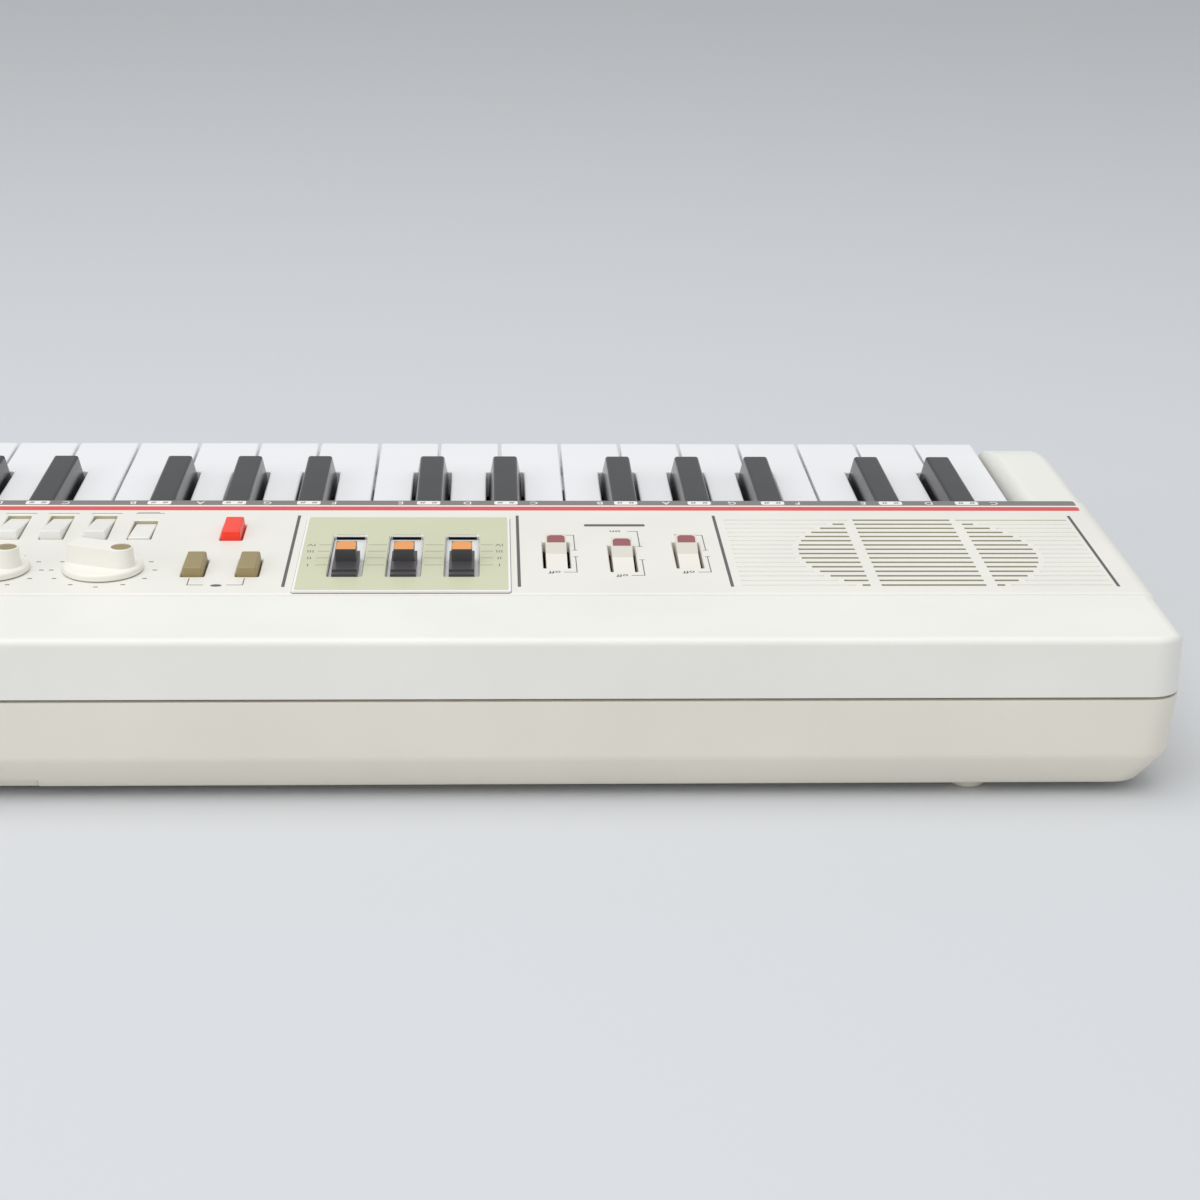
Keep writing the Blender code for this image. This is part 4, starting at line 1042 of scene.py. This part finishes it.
def plate_marks():
    """The scale lines between the sliders and the Roman numerals at both ends."""
    parts = []
    for y, name in zip(SCALE_Y, SCALE_NAMES):
        parts += [lettering(name, x, y, SCALE_NAME_SIZE, PLATE_TOP) for x in SCALE_NAME_X]
        for left, right in SCALE_LINES:
            parts.append(ink_line(left, y, right, y, PLATE_TOP, SCALE_LINE_WIDTH))
    fit(joined("plate_marks", parts), *ON_PANEL, ink_grey)


# Keys

def white_key(name, node, notches):
    """A white key: a head with a lip, and a stem between the black keys."""
    low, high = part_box(node)
    head_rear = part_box("black_key_c_sharp1")[0][1] - BLACK_GAP
    key = block(name, (low[0], low[1], high[2] - KEY_HEIGHT), (high[0], head_rear, high[2]))
    left, right = low[0], high[0]
    for start, end in notches:
        if start <= low[0] + MM:
            left = end
        else:
            right = start
    with editing(key):
        for x in {left, right} - {low[0], high[0]}:
            slice_at((x, 0, 0), (1, 0, 0))
        pick("FACE", lambda c, n: n.y > 0.9 and left < c.x < right)
        push_out(y=high[1] - head_rear)
        slice_at((0, low[1] + KEY_LIP, 0), (0, 1, 0))
        pick("FACE", lambda c, n: n.z < -0.9 and c.y < low[1] + KEY_LIP)
        push_out(z=-KEY_LIP_DROP)
        dissolve_flat()
    finish_edges(key, KEY_EDGE)
    return key


def black_key(name, node):
    """A black key: a low tail under the panel, and a taller, tapered part."""
    low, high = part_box(node)
    key = block(name, low, (high[0], high[1], high[2] - BLACK_WALL))
    with editing(key):
        slice_at((0, BLACK_CAP_REAR, 0), (0, 1, 0))
        pick("FACE", lambda c, n: n.z > 0.9 and c.y < BLACK_CAP_REAR)
        push_out(z=BLACK_WALL)
        scale_about((middle_x(node), 0, 0), BLACK_TOP_WIDTH / (high[0] - low[0]))
        pick("VERT", lambda p: p.z > high[2] - SLACK and p.y < low[1] + SLACK)
        move(y=BLACK_SLOPE)
        dissolve_flat()
    finish_edges(key, BLACK_EDGE, 4)
    return key


def all_white_keys(whites, blacks):
    """One octave and the top C are modelled, and the rest are copies of the same letter."""
    gaps = [(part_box(n)[0][0] - BLACK_GAP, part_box(n)[1][0] + BLACK_GAP) for n in blacks]
    models = {}
    for node in whites:
        low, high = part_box(node)
        notches = [g for g in gaps if g[0] < high[0] and g[1] > low[0]]
        shape = (node.split("_")[2][0], len(notches))
        name = node.replace("white_key", "key_cap")
        if shape in models:
            model, model_node = models[shape]
            key = copy_of(model, name, x=middle_x(node) - middle_x(model_node))
        else:
            key = white_key(name, node, notches)
            models[shape] = (key, node)
        fit(key, node, "white_key_plastic", key_white, node)


def all_black_keys(blacks):
    first = black_key(blacks[0].replace("black_key", "sharp_cap"), blacks[0])
    for node in blacks:
        key = first
        if node != blacks[0]:
            key = copy_of(first, node.replace("black_key", "sharp_cap"),
                          x=middle_x(node) - middle_x(blacks[0]))
        fit(key, node, "black_key_plastic", key_black, node)


def all_keys():
    whites = sorted((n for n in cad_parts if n.startswith("white_key")), key=middle_x)
    blacks = sorted((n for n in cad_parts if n.startswith("black_key")), key=middle_x)
    all_white_keys(whites, blacks)
    all_black_keys(blacks)


# Sliders, rockers, buttons and knobs

def slider_cap(name, node):
    """A slider cap: a stepped base, a raised grip and a narrow stem below."""
    low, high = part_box(node)
    middle = middle_x(node)
    bottom = SLIDER_BED_TOP + SLIDER_LIFT
    step_length, step_depth = SLIDER_STEP
    cap = block(name, (low[0], low[1], bottom), (high[0], high[1], SLIDER_BASE_TOP))
    with editing(cap):
        for y in SLIDER_GRIP:
            slice_at((0, y, 0), (0, 1, 0))
        pick("FACE", lambda c, n: n.z > 0.9 and SLIDER_GRIP[0] < c.y < SLIDER_GRIP[1])
        bpy.ops.mesh.inset(thickness=0.01 * MM)
        scale_about((middle, 0, 0), SLIDER_GRIP_WIDTH / SLIDER_BASE_WIDTH)
        push_out(z=SLIDER_GRIP_TOP - PRINT_RISE - SLIDER_BASE_TOP)
        pick("FACE", lambda c, n: n.z < -0.9 and SLIDER_GRIP[0] < c.y < SLIDER_GRIP[1])
        bpy.ops.mesh.inset(thickness=STEM_INSET)
        scale_about((middle, 0, 0), STEM_SHARE)
        push_out(z=UNDER_PANEL - bottom)
    combine(cap, block("step", (low[0] - BEYOND, high[1] - step_length, SLIDER_BASE_TOP - step_depth),
                       (high[0] + BEYOND, high[1] + BEYOND, SLIDER_GRIP_TOP)))
    finish_edges(cap, 0.3 * MM, 3, 40)
    return cap


def slider_mark(name, x):
    """The orange top of a slider's grip, with the corners towards the player rounded."""
    side, end, depth, corner = SLIDER_MARK
    half = SLIDER_GRIP_WIDTH / 2 - side
    top = block(name, (x - half, SLIDER_GRIP[0] + end, SLIDER_GRIP_TOP - depth),
                (x + half, SLIDER_GRIP[1] - end, SLIDER_GRIP_TOP))
    with editing(top):
        round_edges(corner, 5, lambda a, b: upright(a, b) and a.y < SLIDER_GRIP[0] + MM)
    finish_edges(top, 0.12 * MM, 2)
    return top


def sliders():
    """The first slider is modelled and the other two are copies."""
    nodes = [f"variation_slider_{number}" for number in (1, 2, 3)]
    cap = slider_cap("slider_cap_1", nodes[0])
    top = slider_mark("slider_top_1", middle_x(nodes[0]))
    for number, node in enumerate(nodes, start=1):
        shift = middle_x(node) - middle_x(nodes[0])
        one = cap if number == 1 else copy_of(cap, f"slider_cap_{number}", x=shift)
        two = top if number == 1 else copy_of(top, f"slider_top_{number}", x=shift)
        fit(one, node, "slider_plastic", cap_black, node)
        fit(two, node, "slider_plastic", ink_orange, node)


def rocker_cap(name, x, y):
    """A rocker with round ends about its pivot and the front of its top raised."""
    half = ROCKER_WIDTH / 2
    cap = block(name, (x - half, y - ROCKER_RADIUS, ROCKER_PIVOT - ROCKER_BODY),
                (x + half, y + ROCKER_RADIUS, ROCKER_CREST))
    rise = (ROCKER_RAISED - ROCKER_CREST) / RAISED_REACH
    fall = (ROCKER_CREST - ROCKER_SUNK) / SUNK_REACH
    with editing(cap):
        slice_at((0, y, 0), (0, 1, 0))
        pick("VERT", lambda p: p.z > ROCKER_PIVOT and p.y < y - MM)
        move(z=rise * ROCKER_RADIUS)
        pick("VERT", lambda p: p.z > ROCKER_PIVOT and p.y > y + MM)
        move(z=-fall * ROCKER_RADIUS)
        pick("FACE", lambda c, n: n.z < -0.9 and c.y > y)
        push_out(z=-ROCKER_HEEL)
        pick("VERT", lambda p: p.z < ROCKER_PIVOT - ROCKER_HEEL)
        scale_about((x, y, 0), 1.0, ROCKER_HEEL_TAPER)
    combine(cap, lying_post("round ends", (x, y, ROCKER_PIVOT), ROCKER_RADIUS, 3 * ROCKER_WIDTH,
                            ALONG_X, 96), "INTERSECT")
    finish_edges(cap, ROCKER_EDGE)
    return cap


def rocker_mark(name, x, y):
    """The maroon patch on the raised end of a rocker, lying along its slope."""
    front, rear = ROCKER_MARK_ENDS
    patch = block(name, (x - ROCKER_MARK_HALF, y - front, ROCKER_CREST - ROCKER_MARK_DEPTH),
                  (x + ROCKER_MARK_HALF, y - rear, ROCKER_CREST + ROCKER_MARK_RISE))
    lean = math.atan2(ROCKER_RAISED - ROCKER_CREST, RAISED_REACH)
    with editing(patch):
        round_edges(ROCKER_MARK_CORNER, 5, lambda a, b: upright(a, b) and a.y < y - front + SLACK)
        turn_all(lean, "X", (x, y, ROCKER_CREST))
    smooth(patch)
    return patch


def rockers():
    """The first rocker is modelled and the other three are copies."""
    x0, y0 = ROCKER_PLACES[0]
    cap = rocker_cap("rocker_cap_1", x0, y0)
    patch = rocker_mark("rocker_mark_1", x0, y0)
    for number, (node, (x, y)) in enumerate(zip(ROCKERS, ROCKER_PLACES), start=1):
        one, two = cap, patch
        if number > 1:
            one = copy_of(cap, f"rocker_cap_{number}", x=x - x0, y=y - y0)
            two = copy_of(patch, f"rocker_mark_{number}", x=x - x0, y=y - y0)
        fit(one, node, "rocker_plastic", rocker_cream, node)
        # The faces of the raised front half get the darker cream: painted shade on that slope
        one.data.materials.append(rocker_grip_painted_shade)
        for face in one.data.polygons:
            if face.normal.z > 0.5 and face.center.y < y and face.center.z > ROCKER_CREST:
                face.material_index = 1
        fit(two, node, "rocker_plastic", ink_maroon, node)


def push_button(name, node):
    """A square-shouldered push button, a little narrower at the top."""
    low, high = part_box(node)
    middle = (middle_x(node), (low[1] + high[1]) / 2, PANEL_TOP)
    button = block(name, low, (high[0], high[1], PANEL_TOP))
    with editing(button):
        pick("FACE", faces_up)
        push_out(z=high[2] - PANEL_TOP)
        scale_about(middle, *BUTTON_TAPER)
    finish_edges(button, BUTTON_EDGE, 3, 20, 30)
    return button


def rhythm_button(name, node):
    """A button whose top slopes up to the rear, with its front edge below the panel."""
    low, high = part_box(node)
    button = block(name, low, high)
    with editing(button):
        pick("VERT", lambda p: p.z > high[2] - SLACK and p.y < low[1] + SLACK)
        move(z=PANEL_TOP - RHYTHM_FRONT_DROP - high[2])
    finish_edges(button, RHYTHM_EDGE, 3, 20, 30)
    return button


def buttons():
    """Push buttons, the latched rhythm button, and three more that are alike."""
    for node, finish, slot in (("start_button", button_khaki, "khaki_plastic"),
                               ("synchro_button", button_khaki, "khaki_plastic"),
                               ("fill_in_button", button_red, "red_plastic")):
        fit(push_button(node + "_cap", node), node, slot, finish, node)
    fit(rhythm_button("rhythm_cap_1", "rhythm_button_1"), "rhythm_button_1", "rhythm_button_plastic",
        rhythm_white, "rhythm_button_1")
    first = rhythm_button("rhythm_cap_2", "rhythm_button_2")
    for number in (3, 4, 2):
        node = f"rhythm_button_{number}"
        shift = middle_x(node) - middle_x("rhythm_button_2")
        cap = first if number == 2 else copy_of(first, f"rhythm_cap_{number}", x=shift)
        fit(cap, node, "rhythm_button_plastic", rhythm_white, node)


def knob_bar(x, low, top):
    """The tapered bar across a knob: one end round, the other square."""
    pointer, tail = KNOB_BAR_ENDS
    bar = block("bar", (x - pointer, KNOB_Y - KNOB_BAR_HALF, low),
                (x + tail, KNOB_Y + KNOB_BAR_HALF, top))
    with editing(bar):
        round_edges(KNOB_BAR_ROUND, 12, lambda a, b: upright(a, b) and a.x < x)
        round_edges(KNOB_BAR_CORNER, 5, lambda a, b: upright(a, b) and a.x > x)
        pick("FACE", faces_up)
        scale_about((x, KNOB_Y, top), *KNOB_BAR_TAPER)
        turn_all(-KNOB_LEAN, "Z", (x, KNOB_Y, top))
    return bar


def knob(number, node, x):
    """A knob: a round skirt, a bar across it, and a khaki pad let into the pointer end."""
    base = PANEL_TOP + KNOB_LIFT
    top = PANEL_TOP + KNOB_RISE
    cap = post(f"knob_cap_{number}", x, KNOB_Y, KNOB_RADIUS, base, base + KNOB_SKIRT, 72)
    with editing(cap):
        round_edges(KNOB_SKIRT_EDGE, 4, level(base + KNOB_SKIRT))
    combine(cap, knob_bar(x, base + MM, top), "UNION")
    soften(cap, 0.3 * MM, 3, 50)
    reach, radius = KNOB_PAD
    place = (x - reach * math.cos(KNOB_LEAN), KNOB_Y - reach * math.sin(KNOB_LEAN))
    combine(cap, post("pad seat", *place, radius + KNOB_PAD_GAP, top - KNOB_PAD_SEAT, top + MM, 40))
    pad_top = top - KNOB_PAD_SUNK
    pad = post(f"knob_pad_{number}", *place, radius, pad_top - KNOB_PAD_DEPTH, pad_top, 40)
    soften(pad, 0.12 * MM, 2)
    combine(cap, post("shaft", x, KNOB_Y, SHAFT_RADIUS, SHAFT_BOTTOM, base + MM, 32), "UNION")
    for piece, finish in ((cap, knob_cream), (pad, button_khaki)):
        smooth(piece)
        fit(piece, node, "knob_plastic", finish, node)


# What stays from the frame, and the studio

def frame_parts():
    """The hidden parts keep their frame shapes and get their own materials."""
    for node, finish in (("key_frame", frame_grey), ("circuit_board", board_green),
                         ("speaker", cone_black)):
        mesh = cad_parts[node].data
        mesh.materials.clear()
        mesh.materials.append(finish)


def studio_floor():
    only(None)
    bpy.ops.mesh.primitive_plane_add(size=FLOOR_SIZE, location=(0, 0, 0))
    floor = take_name("studio_floor")
    material = bpy.data.materials.new("studio_grey")
    material.use_nodes = True
    shader = material.node_tree.nodes["Principled BSDF"]
    set_inputs(shader, Base_Color=tone(214, 216, 219), Roughness=0.9, Specular_IOR_Level=0.1)
    floor.data.materials.append(material)


def lamp(name, place, size, power):
    """A round soft lamp that looks at the middle of the keyboard."""
    light = bpy.data.lights.new(name, "AREA")
    light.shape = "DISK"
    light.size = size
    light.energy = power
    holder = bpy.data.objects.new(name, light)
    holder.location = place
    holder.rotation_euler = (-Vector(place)).to_track_quat("-Z", "Y").to_euler()
    bpy.context.scene.collection.objects.link(holder)


def studio():
    studio_floor()
    for name, values in LAMPS.items():
        lamp(name, *values)
    world = bpy.data.worlds.new("studio_air")
    bpy.context.scene.world = world
    world.use_nodes = True
    set_inputs(world.node_tree.nodes["Background"], Color=SKY_COLOUR, Strength=SKY_STRENGTH)
    bpy.context.scene.view_settings.view_transform = "Standard"


def camera():
    """The photograph's own view, from behind the keyboard and above it."""
    eye = bpy.data.cameras.new("photo_view")
    eye.sensor_width = 36
    eye.lens = VIEW_LENS
    eye.clip_end = 50
    holder = bpy.data.objects.new("photo_view", eye)
    turn = Matrix(VIEW_AXES).transposed().to_4x4()
    holder.matrix_world = Matrix.Translation(VIEW_PLACE) @ turn
    bpy.context.scene.collection.objects.link(holder)
    bpy.context.scene.camera = holder


camera()
upper_shell()
tray = lower_shell()
battery_bay(tray)
sockets(tray)
case_screws(tray)
rubber_feet()
smooth(tray)
fit(tray, "chassis", "lower_case_plastic", base_cream, "lower_case")
battery_door()
panel_face()
variation_plate()
slider_bed()
panel_stripes()
note_names()
panel_marks()
plate_marks()
all_keys()
sliders()
rockers()
buttons()
for knob_number, (knob_node, knob_x) in enumerate(KNOBS.items(), start=1):
    knob(knob_number, knob_node, knob_x)
frame_parts()
studio()
only(None)
